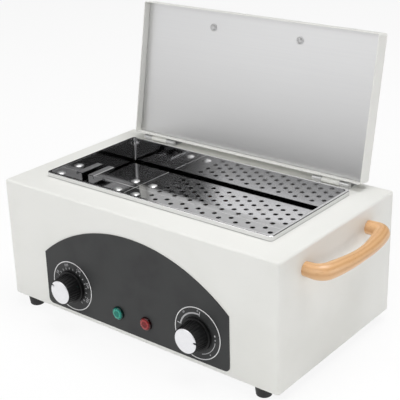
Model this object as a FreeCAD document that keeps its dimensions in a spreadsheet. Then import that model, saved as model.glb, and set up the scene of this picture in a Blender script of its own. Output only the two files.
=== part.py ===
import FreeCAD, Part
import math
import os
import re

import Sketcher

# A bench-top dry heat sterilizer: a white sheet-steel case with a stainless chamber, a perforated
# tray over a tubular heater, a hinged lid that stands open, two dial controls and wooden handles.
# Origin: centre of the footprint on the bench. X to the right, Y to the back, Z up, millimetres.

Vector = FreeCAD.Vector
Rotation = FreeCAD.Rotation
Placement = FreeCAD.Placement

# Driving sizes. A text that starts with an equals sign is worked out from the others.
SIZES = [
    # chamber, and the case round it
    ("chamber_width", "292"),
    ("chamber_depth", "136.6"),
    ("case_side_margin", "34"),
    ("case_front_margin", "36.2"),
    ("case_back_margin", "37.2"),
    ("under_tub_height", "83.3"),
    ("liner_sheet", "0.8"),
    ("lip_rise", "5.3"),
    ("tray_drop", "29.7"),
    ("tray_stand", "28.5"),
    ("case_width", "=chamber_width + 2 * case_side_margin"),
    ("case_depth", "=chamber_depth + case_front_margin + case_back_margin"),
    ("case_height", "=under_tub_height + liner_sheet + tray_stand + tray_drop - lip_rise"),
    ("chamber_offset", "=(case_front_margin - case_back_margin) / 2"),
    ("case_sheet", "1"),
    ("case_edge_radius", "2.5"),
    ("case_flange", "14"),
    ("foot_height", "12"),
    ("foot_top_radius", "9.3"),
    ("foot_bottom_radius", "7.8"),
    ("foot_edge_radius", "1.2"),
    ("foot_inset_side", "23"),
    ("foot_inset_front", "10"),
    ("foot_well_radius", "4.4"),
    ("foot_well_depth", "5"),
    ("case_bottom", "=foot_height"),
    ("case_top", "=foot_height + case_height"),
    ("case_half_width", "=case_width / 2"),
    ("case_half_depth", "=case_depth / 2"),
    ("foot_x", "=case_half_width - foot_inset_side"),
    ("foot_y", "=case_half_depth - foot_inset_front"),
    # clearances and the overrun of every cut
    ("overrun", "2"),
    ("sheet_gap", "0.4"),
    ("running_gap", "0.05"),
    ("moving_gap", "0.3"),
    ("screw_gap", "0.15"),
    # base plate
    ("base_sheet", "1"),
    ("vent_length", "46"),
    ("vent_width", "4"),
    ("vent_pitch", "12"),
    ("vent_count", "6"),
    ("vent_group_x", "78"),
    ("base_screw_from_side", "70"),
    ("base_screw_inset", "8"),
    ("base_screw_x", "=case_half_width - base_screw_from_side"),
    ("base_screw_y", "=case_half_depth - base_screw_inset"),
    # chamber liner
    ("chamber_corner_radius", "4"),
    ("liner_gap", "0.6"),
    ("hem_width", "3"),
    ("hem_radius", "1.1"),
    ("lip_top", "=case_top + lip_rise"),
    ("tray_top", "=lip_top - tray_drop"),
    ("chamber_floor", "=tray_top - tray_stand"),
    ("liner_bottom", "=chamber_floor - liner_sheet"),
    ("chamber_half_width", "=chamber_width / 2"),
    ("chamber_front", "=chamber_offset - chamber_depth / 2"),
    ("chamber_back", "=chamber_offset + chamber_depth / 2"),
    ("liner_half_width", "=chamber_half_width + liner_sheet"),
    ("liner_front", "=chamber_front - liner_sheet"),
    ("liner_back", "=chamber_back + liner_sheet"),
    ("wool_thickness", "10"),
    ("wool_top_gap", "4"),
    # tray
    ("tray_side_gap", "4"),
    ("tray_front_gap", "6.3"),
    ("tray_back_gap", "6.1"),
    ("tray_sheet", "0.8"),
    ("hole_radius", "2.75"),
    ("hole_pitch", "21.7"),
    ("hole_row_pitch", "7"),
    ("hole_first_row", "6.5"),
    ("hole_first_x", "-57.5"),
    ("hole_columns", "9"),
    ("hole_pair_count", "8"),
    ("hole_shift_share", "0.5"),
    ("crease_width", "0.9"),
    ("crease_depth", "0.25"),
    ("crease_y", "3.2"),
    ("crease_x", "-88"),
    ("dome_radius", "5.5"),
    ("dome_rise", "1.6"),
    ("dome_pitch_x", "26"),
    ("dome_pitch_y", "30"),
    ("strap_length", "34"),
    ("strap_rise", "10.5"),
    ("strap_reach", "9"),
    ("strap_lip", "3.5"),
    ("strap_inset", "0.6"),
    ("strap_bend_radius", "1"),
    ("tray_half_width", "=chamber_half_width - tray_side_gap"),
    ("tray_front", "=chamber_front + tray_front_gap"),
    ("tray_back", "=chamber_back - tray_back_gap"),
    ("tray_under", "=tray_top - tray_sheet"),
    # lid
    ("lid_side_margin", "8.3"),
    ("lid_front_margin", "6.6"),
    ("lid_back_margin", "11.2"),
    ("lid_depth", "18.3"),
    ("lid_sheet", "1"),
    ("lid_gap", "1"),
    ("lid_corner_radius", "2.5"),
    ("lid_panel_recess", "9"),
    ("lid_panel_sheet", "0.8"),
    ("lid_wool_inset", "4"),
    ("lid_open_angle", "100"),
    ("lid_half_width", "=chamber_half_width + lid_side_margin"),
    ("lid_front", "=chamber_front - lid_front_margin"),
    ("lid_back", "=chamber_back + lid_back_margin"),
    ("lid_edge", "=case_top + lid_gap"),
    ("lid_top", "=lid_edge + lid_depth"),
    ("lid_inside_top", "=lid_top - lid_sheet"),
    ("lid_panel_under", "=lid_edge + lid_panel_recess"),
    ("lid_panel_top", "=lid_panel_under + lid_panel_sheet"),
    # hinges
    ("hinge_radius", "2.6"),
    ("hinge_pin_radius", "1.1"),
    ("hinge_pin_head", "0.8"),
    ("hinge_pin_head_radius", "1.7"),
    ("hinge_middle_knuckle", "21.4"),
    ("hinge_outer_knuckle", "11.1"),
    ("hinge_from_side", "62"),
    ("hinge_end_gap", "0.4"),
    ("leaf_sheet", "1"),
    ("fixed_leaf_reach", "18.5"),
    ("moving_leaf_rise", "13.6"),
    ("rivet_head_radius", "2.5"),
    ("rivet_head_rise", "1"),
    ("rivet_radius", "1.5"),
    ("rivet_pitch", "15"),
    ("rivet_from_axis", "12.6"),
    ("lid_rivet_from_axis", "10.6"),
    ("rivet_tail_radius", "2.2"),
    ("rivet_tail_rise", "0.8"),
    ("hinge_y", "=lid_back + leaf_sheet + moving_gap + hinge_radius"),
    ("hinge_z", "=case_top + leaf_sheet + moving_gap + hinge_radius"),
    ("hinge_centre_x", "=case_half_width - hinge_from_side"),
    ("hinge_inner_end", "=hinge_middle_knuckle / 2"),
    ("hinge_outer_start", "=hinge_inner_end + hinge_end_gap"),
    ("hinge_outer_end", "=hinge_outer_start + hinge_outer_knuckle"),
    # handles: bent round wooden bows
    ("bow_spacing", "115"),
    ("bow_stand_off", "26.8"),
    ("bow_bar_radius", "7.1"),
    ("bow_corner_radius", "12"),
    ("bow_crown_radius", "180"),
    ("bow_pilot_depth", "12"),
    ("side_bow_y", "-4.5"),
    ("side_bow_drop", "22"),
    ("lid_bow_from_front", "19.4"),
    ("bow_screw_radius", "1.8"),
    ("bow_screw_reach", "10"),
    ("bow_screw_head_radius", "3.4"),
    ("bow_screw_head_rise", "2.2"),
    ("bow_washer_radius", "4.5"),
    ("bow_washer_thickness", "0.8"),
    ("side_bow_z", "=case_top - side_bow_drop"),
    ("lid_bow_y", "=lid_front + lid_bow_from_front"),
    # fascia
    ("fascia_half_width", "124"),
    ("fascia_sheet", "0.8"),
    ("fascia_bottom_gap", "4.5"),
    ("fascia_side_rise", "66"),
    ("fascia_top_gap", "24"),
    ("fascia_corner_radius", "6"),
    ("fascia_bottom", "=case_bottom + fascia_bottom_gap"),
    ("fascia_side_top", "=case_bottom + fascia_side_rise"),
    ("fascia_top", "=case_top - fascia_top_gap"),
    ("fascia_front", "=-case_half_depth - fascia_sheet"),
    # dial controls
    ("dial_x", "85.5"),
    ("dial_rise", "35.2"),
    ("dial_z", "=case_bottom + dial_rise"),
    ("bush_radius", "4.6"),
    ("bush_gap", "0.2"),
    ("bush_reach", "0.6"),
    ("shaft_radius", "3"),
    ("shaft_seat", "14"),
    ("control_width", "42"),
    ("control_height", "28"),
    ("control_length", "30"),
    ("control_screw_pitch", "22"),
    ("control_screw_radius", "1.5"),
    ("control_screw_head_radius", "2.7"),
    ("control_screw_head_rise", "1.5"),
    ("control_screw_reach", "7"),
    ("control_tab_thickness", "1.5"),
    ("knob_gap", "1"),
    ("knob_skirt_radius", "18.1"),
    ("knob_skirt_height", "3.6"),
    ("knob_shoulder_height", "0.6"),
    ("knob_body_radius", "15.6"),
    ("knob_face_radius", "14.3"),
    ("knob_height", "17.5"),
    ("knob_boss_radius", "6"),
    ("knob_cavity_radius", "16"),
    ("knob_cavity_depth", "2.6"),
    ("knob_bore_depth", "13"),
    ("knob_flute_count", "30"),
    ("knob_flute_radius", "0.8"),
    ("cap_radius", "13"),
    ("cap_thickness", "1.4"),
    ("cap_edge_share", "0.3"),
    ("cap_seat", "0.8"),
    ("cap_notch_width", "2.2"),
    ("cap_notch_length", "3.6"),
    ("thermostat_angle", "-59"),
    ("timer_angle", "85"),
    ("knob_back", "=fascia_front - knob_gap"),
    # pilot lamps
    ("lamp_x", "19"),
    ("lamp_rise", "24"),
    ("lamp_z", "=case_bottom + lamp_rise"),
    ("lamp_lens_radius", "7.3"),
    ("lamp_lens_height", "3.6"),
    ("lamp_lens_edge", "1.6"),
    ("lens_bevel_share", "0.35"),
    ("lens_bevel", "=lamp_lens_edge * lens_bevel_share"),
    ("lamp_stem_radius", "4.4"),
    ("lamp_stem_length", "6"),
    ("lamp_body_radius", "5.7"),
    ("lamp_body_length", "22"),
    ("lamp_clip_radius", "8.5"),
    ("lamp_clip_thickness", "1"),
    ("lamp_tag_length", "5"),
    ("tag_width", "2.8"),
    ("tag_thickness", "0.8"),
    # heater
    ("heater_radius", "3.2"),
    ("heater_rise", "12"),
    ("heater_leg_count", "4"),
    ("heater_side_margin", "32.3"),
    ("heater_turn_margin", "34"),
    ("heater_reach", "12"),
    ("heater_nut_radius", "6"),
    ("heater_nut_thickness", "3"),
    ("heater_pin_radius", "1.2"),
    ("heater_pin_length", "7"),
    ("bracket_x", "70"),
    ("bracket_sheet", "1"),
    ("bracket_margin", "8"),
    ("bracket_foot", "9"),
    ("heater_leg_pitch", "=(chamber_depth - 2 * heater_side_margin) / (heater_leg_count - 1)"),
    ("heater_end_y", "=heater_leg_pitch * (heater_leg_count - 1) / 2"),
    ("heater_turn_x", "=chamber_half_width - heater_turn_margin"),
    ("heater_level", "=chamber_floor + heater_rise"),
    # thermostat bulb, capillary and thermal cut-out
    ("bulb_radius", "3"),
    ("bulb_length", "60"),
    ("bulb_from_back", "17.8"),
    ("bulb_rise", "6"),
    ("bulb_x", "-20"),
    ("bulb_clip_sheet", "0.8"),
    ("bulb_clip_width", "6"),
    ("bulb_clip_foot", "5"),
    ("capillary_radius", "0.8"),
    ("capillary_gap", "0.4"),
    ("capillary_bend", "4"),
    ("capillary_lead", "16"),
    ("bulb_y", "=chamber_back - bulb_from_back"),
    ("cutout_x", "60"),
    ("cutout_radius", "8"),
    ("cutout_height", "9"),
    ("cutout_tag_height", "6"),
    ("cutout_tag_pitch", "9"),
    # electrics on the base and the cord entry
    ("block_from_side", "62"),
    ("block_from_back", "43"),
    ("block_length", "44"),
    ("block_width", "18"),
    ("block_height", "16"),
    ("block_ways", "4"),
    ("block_well_radius", "2.6"),
    ("block_well_depth", "5"),
    ("block_edge_radius", "1.5"),
    ("block_x", "=case_half_width - block_from_side"),
    ("block_y", "=case_half_depth - block_from_back"),
    ("block_top", "=case_bottom + base_sheet + block_height"),
    ("gland_from_side", "38"),
    ("gland_rise", "22"),
    ("gland_bore_radius", "3.6"),
    ("gland_barrel_radius", "6.2"),
    ("gland_flange_radius", "8.5"),
    ("gland_flange_thickness", "2.6"),
    ("gland_inside", "9"),
    ("gland_nut_radius", "8"),
    ("gland_nut_thickness", "4"),
    ("gland_x", "=case_half_width - gland_from_side"),
    ("gland_z", "=case_bottom + gland_rise"),
    ("lead_radius", "1.2"),
    ("lead_bend", "9"),
    ("lead_pitch", "8"),
    # screws into the feet and the base
    ("foot_screw_radius", "1.9"),
    ("foot_screw_head_radius", "3.8"),
    ("foot_screw_head_rise", "2.4"),
    ("foot_screw_reach", "5"),
    ("base_screw_radius", "1.4"),
    ("base_screw_head_radius", "2.8"),
    ("base_screw_head_rise", "1.6"),
    ("base_screw_reach", "5"),
    ("slot_width", "0.9"),
    ("slot_depth", "0.9"),
    ("cross_reach_share", "0.55"),
    ("head_flat_share", "0.65"),
    ("head_edge_share", "0.3"),
]

doc = FreeCAD.newDocument("dry_heat_sterilizer")
sheet = doc.addObject("Spreadsheet::Sheet", "Sizes")
NAMES = {alias for alias, _ in SIZES}
for row, (alias, content) in enumerate(SIZES, start=1):
    sheet.set(f"A{row}", alias)
    sheet.set(f"B{row}", content)
    sheet.setAlias(f"B{row}", alias)
doc.recompute()


def size(alias):
    """Gives the value of one named size."""
    return float(sheet.get(alias))


def linked(expression):
    """Turns plain size names in an expression into references to the sheet."""
    return re.sub(r"[a-z][a-z0-9_]*", lambda m: f"Sizes.{m[0]}" if m[0] in NAMES else m[0], expression)


def bind(feature, **expressions):
    """Binds properties of a feature to the sheet."""
    for name, expression in expressions.items():
        feature.setExpression(name, linked(expression))
    return feature


def move_to(feature, point):
    """Binds the place of a feature to the sheet."""
    for axis, expression in zip("xyz", point):
        feature.setExpression(f"Placement.Base.{axis}", linked(expression))
    return feature


# Primitives, with sizes and places given as expressions of named sizes
TURNS = {
    "X": Rotation(Vector(0, 1, 0), 90),
    "Y": Rotation(Vector(1, 0, 0), -90),
    "Z": Rotation(),
}


def box(low, high):
    """A box from its lowest to its highest corner."""
    solid = doc.addObject("Part::Box", "block")
    spans = [f"({top}) - ({bottom})" for bottom, top in zip(low, high)]
    bind(solid, Length=spans[0], Width=spans[1], Height=spans[2])
    return move_to(solid, low)


def rod(radius, length, start, axis="Z"):
    """A cylinder that runs from its start along a positive axis."""
    solid = doc.addObject("Part::Cylinder", "rod")
    bind(solid, Radius=radius, Height=length)
    solid.Placement = Placement(Vector(), TURNS[axis])
    return move_to(solid, start)


def together(*solids):
    """Joins solids into one."""
    joined = doc.addObject("Part::MultiFuse", "joined")
    joined.Shapes = list(solids)
    return joined


def less(base, *tools):
    """Cuts one or more tools out of a base."""
    cut = doc.addObject("Part::Cut", "cut")
    cut.Base = base
    cut.Tool = tools[0] if len(tools) == 1 else together(*tools)
    return cut


def rounded(base, radius, chosen):
    """Rounds the edges of a base that a test on their bounding boxes picks out."""
    doc.recompute()
    whole = base.Shape.BoundBox
    fillet = doc.addObject("Part::Fillet", "rounded")
    fillet.Base = base
    width = size(radius)
    edges = enumerate(base.Shape.Edges, start=1)
    fillet.Edges = [(index, width, width) for index, edge in edges if chosen(edge.BoundBox, whole)]
    return fillet


TOUCH = 1e-6


def upright(edge, _whole):
    """Picks straight edges that run up."""
    return edge.XLength < TOUCH and edge.YLength < TOUCH


def at_top(edge, whole):
    """Picks the edges of the top face."""
    return edge.ZMin > whole.ZMax - TOUCH


def upright_or_top(edge, whole):
    """Picks the upright edges and those of the top face."""
    return upright(edge, whole) or at_top(edge, whole)


def group(*solids):
    """Holds separate solids as one sub-part."""
    held = doc.addObject("Part::Compound", "group")
    held.Links = list(solids)
    return held


def copies(master, places, turn=None):
    """Places linked copies of one fastener and holds them as one sub-part."""
    links = []
    for place in places:
        link = doc.addObject("App::Link", "copy")
        link.LinkedObject = master
        if turn:
            link.Placement = Placement(Vector(), turn)
        links.append(move_to(link, place))
    return group(*links)


# Bodies from sketched profiles
def sketch_on(body, role, outline):
    """Draws a closed outline of straight lines, each corner held by two named sizes."""
    plane = next(item for item in body.Origin.OriginFeatures if item.Role == role)
    sketch = body.newObject("Sketcher::SketchObject", "outline")
    sketch.AttachmentSupport = [(plane, "")]
    sketch.MapMode = "FlatFace"
    corners = [Vector(number(across), number(along), 0) for across, along in outline]
    for start, end in zip(corners, corners[1:] + corners[:1]):
        sketch.addGeometry(Part.LineSegment(start, end), False)
    for index in range(len(corners)):
        sketch.addConstraint(Sketcher.Constraint("Coincident", index, 2, (index + 1) % len(corners), 1))
    for index, (corner, texts) in enumerate(zip(corners, outline)):
        for kind, text, value, axis in zip(("DistanceX", "DistanceY"), texts, corner, (-2, -1)):
            if text == "0":
                sketch.addConstraint(Sketcher.Constraint("PointOnObject", index, 1, axis))
                continue
            held = sketch.addConstraint(Sketcher.Constraint(kind, -1, 1, index, 1, value))
            sketch.setExpression(f"Constraints[{held}]", linked(text))
    return sketch


scratch = doc.addObject("Spreadsheet::Sheet", "Scratch")


def number(expression):
    """Works out an expression of named sizes with the document's own engine."""
    scratch.set("A1", "=" + linked(expression))
    scratch.recompute()
    return float(scratch.get("A1"))


def turned(outline, role="XZ_Plane", axis="V_Axis"):
    """A body turned from a half profile around one of its sketch's axes."""
    body = doc.addObject("PartDesign::Body", "turned")
    sketch = sketch_on(body, role, outline)
    spin = body.newObject("PartDesign::Revolution", "spin")
    spin.Profile = sketch
    spin.ReferenceAxis = (sketch, [axis])
    spin.Angle = 360
    return body


def folded(outline, length, role="XZ_Plane"):
    """A body pushed out to both sides of its sketch."""
    body = doc.addObject("PartDesign::Body", "folded")
    pad = body.newObject("PartDesign::Pad", "push")
    pad.Profile = sketch_on(body, role, outline)
    pad.Midplane = True
    bind(pad, Length=length)
    return body


def screw_blank(kind, reach):
    """A screw without its slot at the origin: head below, shank up along Z."""
    return turned([
        ("0", f"-{kind}_head_rise"),
        (f"{kind}_head_radius * head_flat_share", f"-{kind}_head_rise"),
        (f"{kind}_head_radius", f"-{kind}_head_rise * head_edge_share"),
        (f"{kind}_head_radius", "0"),
        (f"{kind}_radius", "0"),
        (f"{kind}_radius", reach),
        ("0", reach),
    ])


def slotted_screw(kind, reach):
    """A screw with one slot right across its head."""
    slot = box(
        ("-slot_width / 2", f"-{kind}_head_radius - overrun", f"-{kind}_head_rise - overrun"),
        ("slot_width / 2", f"{kind}_head_radius + overrun", f"-{kind}_head_rise + slot_depth"),
    )
    return less(screw_blank(kind, reach), slot)


def cross_screw(kind, reach):
    """A screw with a cross recess in the middle of its head."""
    arm = f"{kind}_head_radius * cross_reach_share"
    low = f"-{kind}_head_rise - overrun"
    high = f"-{kind}_head_rise + slot_depth"
    recess = [
        box(("-slot_width / 2", f"-{arm}", low), ("slot_width / 2", arm, high)),
        box((f"-{arm}", "-slot_width / 2", low), (arm, "slot_width / 2", high)),
    ]
    return less(screw_blank(kind, reach), *recess)


PARTS = {}


def keep(name, feature):
    """Names a finished sub-part."""
    feature.Label = name
    PARTS[name] = feature
    return feature


# Case
def case_openings():
    """Every hole through the case."""
    front = "-case_half_depth - overrun"
    holes = [
        box(
            ("-liner_half_width - liner_gap", "liner_front - liner_gap", "case_top - case_sheet - overrun"),
            ("liner_half_width + liner_gap", "liner_back + liner_gap", "case_top + overrun"),
        ),
        box(
            ("-case_half_width + case_flange", "-case_half_depth + case_flange", "case_bottom - overrun"),
            ("case_half_width - case_flange", "case_half_depth - case_flange", "case_bottom + case_flange"),
        ),
        rod("gland_barrel_radius + sheet_gap", "case_sheet + 2 * overrun",
            ("gland_x", "case_half_depth - case_sheet - overrun", "gland_z"), "Y"),
    ]
    for side in ("-", ""):
        holes.append(rod("bush_radius + bush_gap", "case_sheet + 2 * overrun",
                         (f"{side}dial_x", front, "dial_z"), "Y"))
        holes.append(rod("lamp_body_radius + bush_gap", "case_sheet + 2 * overrun",
                         (f"{side}lamp_x", front, "lamp_z"), "Y"))
        for screw in ("-", "+"):
            across = f"{side}dial_x {screw} control_screw_pitch / 2"
            holes.append(rod("control_screw_radius + screw_gap", "case_sheet + 2 * overrun",
                             (across, front, "dial_z"), "Y"))
            along = f"side_bow_y {screw} bow_spacing / 2"
            wall = "case_half_width - case_sheet - overrun" if side == "" else "-case_half_width - overrun"
            holes.append(rod("bow_screw_radius + screw_gap", "case_sheet + 2 * overrun",
                             (wall, along, "side_bow_z"), "X"))
    for across, along in RIVET_SPOTS:
        holes.append(rod("rivet_radius + screw_gap", "case_sheet + 2 * overrun",
                         (across, along, "case_top - case_sheet - overrun")))
    for across, along in FOOT_SPOTS:
        holes.append(rod("foot_screw_radius + screw_gap", "2 * base_sheet + 2 * overrun",
                         (across, along, "case_bottom - overrun")))
    for across, along in BASE_SCREW_SPOTS:
        holes.append(rod("base_screw_radius + screw_gap", "2 * base_sheet + 2 * overrun",
                         (across, along, "case_bottom - overrun")))
    return holes


FOOT_SPOTS = [(f"{side}foot_x", f"{end}foot_y") for end in ("-", "") for side in ("-", "")]
BASE_SCREW_SPOTS = [(f"{side}base_screw_x", f"{end}base_screw_y") for side in ("-", "") for end in ("-", "")]
RIVET_SPOTS = [
    (f"{side}hinge_centre_x + {step} * rivet_pitch", "hinge_y + rivet_from_axis")
    for side in ("-", "") for step in (-1, 0, 1)
]


def case_shell():
    """The folded case: four walls, the top and a flange round the open bottom."""
    outside = rounded(
        box(("-case_half_width", "-case_half_depth", "case_bottom"),
            ("case_half_width", "case_half_depth", "case_top")),
        "case_edge_radius", upright_or_top)
    inner = ("case_half_width - case_sheet", "case_half_depth - case_sheet")
    inside = box(
        (f"-({inner[0]})", f"-({inner[1]})", "case_bottom + base_sheet + case_sheet"),
        (inner[0], inner[1], "case_top - case_sheet"))
    mouth = box(
        (f"-({inner[0]})", f"-({inner[1]})", "case_bottom - overrun"),
        (inner[0], inner[1], "case_bottom + base_sheet"))
    return less(outside, inside, mouth, *case_openings())


def base_plate():
    """The plate that closes the case from below, with two groups of vent slots."""
    half_width = "case_half_width - case_sheet - sheet_gap"
    half_depth = "case_half_depth - case_sheet - sheet_gap"
    plate = box((f"-({half_width})", f"-({half_depth})", "case_bottom"),
                (half_width, half_depth, "case_bottom + base_sheet"))
    cuts = []
    low = "case_bottom - overrun"
    high = "case_bottom + base_sheet + overrun"
    for side in ("-", ""):
        for step in range(int(size("vent_count"))):
            middle = f"({step} - (vent_count - 1) / 2) * vent_pitch"
            cuts.append(box(
                (f"{side}vent_group_x - vent_length / 2", f"{middle} - vent_width / 2", low),
                (f"{side}vent_group_x + vent_length / 2", f"{middle} + vent_width / 2", high)))
    for kind, spots in (("foot_screw", FOOT_SPOTS), ("base_screw", BASE_SCREW_SPOTS)):
        for across, along in spots:
            cuts.append(rod(f"{kind}_radius + screw_gap", "base_sheet + 2 * overrun",
                            (across, along, "case_bottom - overrun")))
    return less(plate, *cuts)


def foot(across, along):
    """A tapered rubber foot with a well for its screw."""
    body = turned([
        ("foot_screw_radius + screw_gap", "foot_well_depth"),
        ("foot_well_radius", "foot_well_depth"),
        ("foot_well_radius", "0"),
        ("foot_bottom_radius - foot_edge_radius", "0"),
        ("foot_bottom_radius", "foot_edge_radius"),
        ("foot_top_radius", "foot_height"),
        ("foot_screw_radius + screw_gap", "foot_height"),
    ])
    return move_to(body, (across, along, "0"))


keep("case_shell", case_shell())
keep("base_plate", base_plate())
for place, (across, along) in zip(("front_left", "front_right", "rear_left", "rear_right"), FOOT_SPOTS):
    keep(f"foot_{place}", foot(across, along))
# The foot screws reach through the foot, the plate and the flange.
keep("foot_screws", copies(
    slotted_screw("foot_screw", "foot_height - foot_well_depth + foot_screw_reach"),
    [(across, along, "foot_well_depth") for across, along in FOOT_SPOTS]))
keep("base_screws", copies(
    slotted_screw("base_screw", "base_screw_reach"), [(x, y, "case_bottom") for x, y in BASE_SCREW_SPOTS]))


# Chamber
def tub_blank():
    """The outside of the tub, as a block."""
    block = box(("-liner_half_width", "liner_front", "liner_bottom"),
                ("liner_half_width", "liner_back", "lip_top"))
    return rounded(block, "chamber_corner_radius", upright)


def chamber_liner():
    """The stainless tub: floor, walls and a raised hem that stands on the case top."""
    hem = rounded(rounded(
        box(("-chamber_half_width - hem_width", "chamber_front - hem_width", "case_top"),
            ("chamber_half_width + hem_width", "chamber_back + hem_width", "lip_top")),
        "chamber_corner_radius", upright), "hem_radius", at_top)
    hollow = rounded(
        box(("-chamber_half_width", "chamber_front", "chamber_floor"),
            ("chamber_half_width", "chamber_back", "lip_top + overrun")),
        "chamber_corner_radius", upright)
    ends = [
        rod("heater_radius + running_gap", "liner_sheet + 2 * overrun",
            ("-liner_half_width - overrun", f"{end}heater_end_y", "heater_level"), "X")
        for end in ("-", "")]
    capillary = rod("capillary_radius + capillary_gap", "liner_sheet + 2 * overrun",
                    ("bulb_x - bulb_length / 2 - capillary_lead", "bulb_y", "liner_bottom - overrun"))
    return less(together(tub_blank(), hem), hollow, capillary, *ends)


def liner_insulation():
    """The fibre blanket that wraps the tub's floor and walls."""
    under = "liner_bottom - wool_thickness"
    low = f"{under} - overrun"
    blanket = rounded(
        box(("-liner_half_width - wool_thickness", "liner_front - wool_thickness", under),
            ("liner_half_width + wool_thickness", "liner_back + wool_thickness", "case_top - wool_top_gap")),
        "chamber_corner_radius", upright)
    ends = [
        rod("heater_nut_radius + sheet_gap", "wool_thickness + overrun + liner_sheet",
            ("-liner_half_width - wool_thickness - overrun", f"{end}heater_end_y", "heater_level"), "X")
        for end in ("-", "")]
    capillary = rod("capillary_radius + capillary_gap", "wool_thickness + 2 * overrun",
                    ("bulb_x - bulb_length / 2 - capillary_lead", "bulb_y", low))
    cutout = rod("cutout_radius + sheet_gap", "wool_thickness + 2 * overrun",
                 ("cutout_x", "chamber_offset", low))
    return less(blanket, tub_blank(), capillary, cutout, *ends)


def thermal_cutout():
    """A disc cut-out pressed to the underside of the tub, with two tags."""
    under = "liner_bottom - cutout_height"
    disc = rod("cutout_radius", "cutout_height", ("cutout_x", "chamber_offset", under))
    tags = []
    for side in ("-", "+"):
        middle = f"cutout_x {side} cutout_tag_pitch / 2"
        tags.append(box(
            (f"{middle} - tag_thickness / 2", "chamber_offset - tag_width / 2", f"{under} - cutout_tag_height"),
            (f"{middle} + tag_thickness / 2", "chamber_offset + tag_width / 2", under)))
    return together(disc, *tags)


def strap(side):
    """A folded lifting strap that stands on one end of the tray: leg, top face and turned-down lip."""
    leg = "tray_half_width - strap_inset"
    reach = f"{leg} - strap_reach"
    top = "tray_top + strap_rise"
    outline = [
        (leg, "tray_top"),
        (leg, top),
        (reach, top),
        (reach, f"{top} - strap_lip"),
        (f"{reach} + tray_sheet", f"{top} - strap_lip"),
        (f"{reach} + tray_sheet", f"{top} - tray_sheet"),
        (f"{leg} - tray_sheet", f"{top} - tray_sheet"),
        (f"{leg} - tray_sheet", "tray_top"),
    ]
    body = folded([(f"{side}({across})", up) for across, up in outline], "strap_length")
    return rounded(body, "strap_bend_radius",
                   lambda edge, whole: edge.YLength > TOUCH and at_top(edge, whole) and edge.XLength < TOUCH)


def perforated_tray():
    """The plate over the heater: staggered holes, two creases, four pressed domes, two long flanges."""
    half = "tray_half_width"
    plate = box((f"-{half}", "tray_front", "tray_under"), (half, "tray_back", "tray_top"))
    flanges = [box((f"-{half}", front, "chamber_floor"), (half, f"{front} + tray_sheet", "tray_under"))
               for front in ("tray_front", "tray_back - tray_sheet")]
    domes = [dome(across, along) for across in ("-", "+") for along in ("-", "+")]
    creases = [
        box(("-tray_half_width - overrun", "crease_y - crease_width / 2", "tray_top - crease_depth"),
            ("tray_half_width + overrun", "crease_y + crease_width / 2", "tray_top + overrun")),
        box(("crease_x - crease_width / 2", "tray_front - overrun", "tray_top - crease_depth"),
            ("crease_x + crease_width / 2", "tray_back + overrun", "tray_top + overrun")),
    ]
    return together(less(plate, *creases, tray_holes()), *flanges, *domes)


def dome(across, along):
    """A low pressed dome on the tray beside the crossing of the creases."""
    cap_radius = "(dome_radius * dome_radius + dome_rise * dome_rise) / (2 * dome_rise)"
    ball = doc.addObject("Part::Sphere", "ball")
    bind(ball, Radius=cap_radius)
    move_to(ball, (f"crease_x {across} dome_pitch_x / 2", f"crease_y {along} dome_pitch_y / 2",
                   f"tray_top + dome_rise - {cap_radius}"))
    slab = box(("crease_x - dome_pitch_x", "crease_y - dome_pitch_y", "tray_top - tray_sheet / 2"),
               ("crease_x + dome_pitch_x", "crease_y + dome_pitch_y", "tray_top + dome_rise + overrun"))
    common = doc.addObject("Part::Common", "dome")
    common.Base = ball
    common.Tool = slab
    return common


def tray_holes():
    """The punches for the tray: rows mirrored about the long crease, every second row set off."""
    punches = []
    reach = size("overrun") + size("tray_sheet")
    radius = size("hole_radius")
    margin = 2 * radius
    end = number("tray_half_width - strap_inset - strap_reach")
    for pair in range(int(size("hole_pair_count"))):
        first = size("hole_first_x") + (pair % 2) * size("hole_shift_share") * size("hole_pitch")
        columns = [first + column * size("hole_pitch") for column in range(int(size("hole_columns")))]
        for side in (-1, 1):
            along = size("crease_y") + side * (size("hole_first_row") + pair * size("hole_row_pitch"))
            if not size("tray_front") + margin < along < size("tray_back") - margin:
                continue
            for across in columns:
                if across + radius < end:
                    centre = Vector(across, along, size("tray_under") - reach)
                    punches.append(Part.makeCylinder(radius, 2 * reach + size("tray_sheet"), centre))
    feature = doc.addObject("Part::Feature", "punches")
    feature.Shape = Part.makeCompound(punches)
    return feature


keep("chamber_liner", chamber_liner())
keep("liner_insulation", liner_insulation())
keep("thermal_cutout", thermal_cutout())
keep("perforated_tray", perforated_tray())
keep("tray_strap_left", strap("-"))
keep("tray_strap_right", strap(""))


# Levels inside the front wall: its face and the back of both controls
INSIDE_FRONT = "-case_half_depth + case_sheet"
CONTROL_BACK = f"{INSIDE_FRONT} + control_tab_thickness + control_length"


# Tubes and rods swept along straight runs joined by tangent arcs
def rounded_path(points, radius):
    """A wire through points, its corners rounded by tangent arcs."""
    edges = []
    start = points[0]
    for before, corner, after in zip(points, points[1:], points[2:]):
        inward = (corner - before).normalize()
        outward = (after - corner).normalize()
        turn = inward.getAngle(outward)
        back = radius * math.tan(turn / 2)
        first = corner - inward * back
        last = corner + outward * back
        middle = corner + (outward - inward).normalize() * (radius / math.cos(turn / 2) - radius)
        edges.append(Part.makeLine(start, first))
        edges.append(Part.Arc(first, middle, last).toShape())
        start = last
    edges.append(Part.makeLine(start, points[-1]))
    return Part.Wire(edges)


SWEEP_TOLERANCE = 0.01


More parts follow.
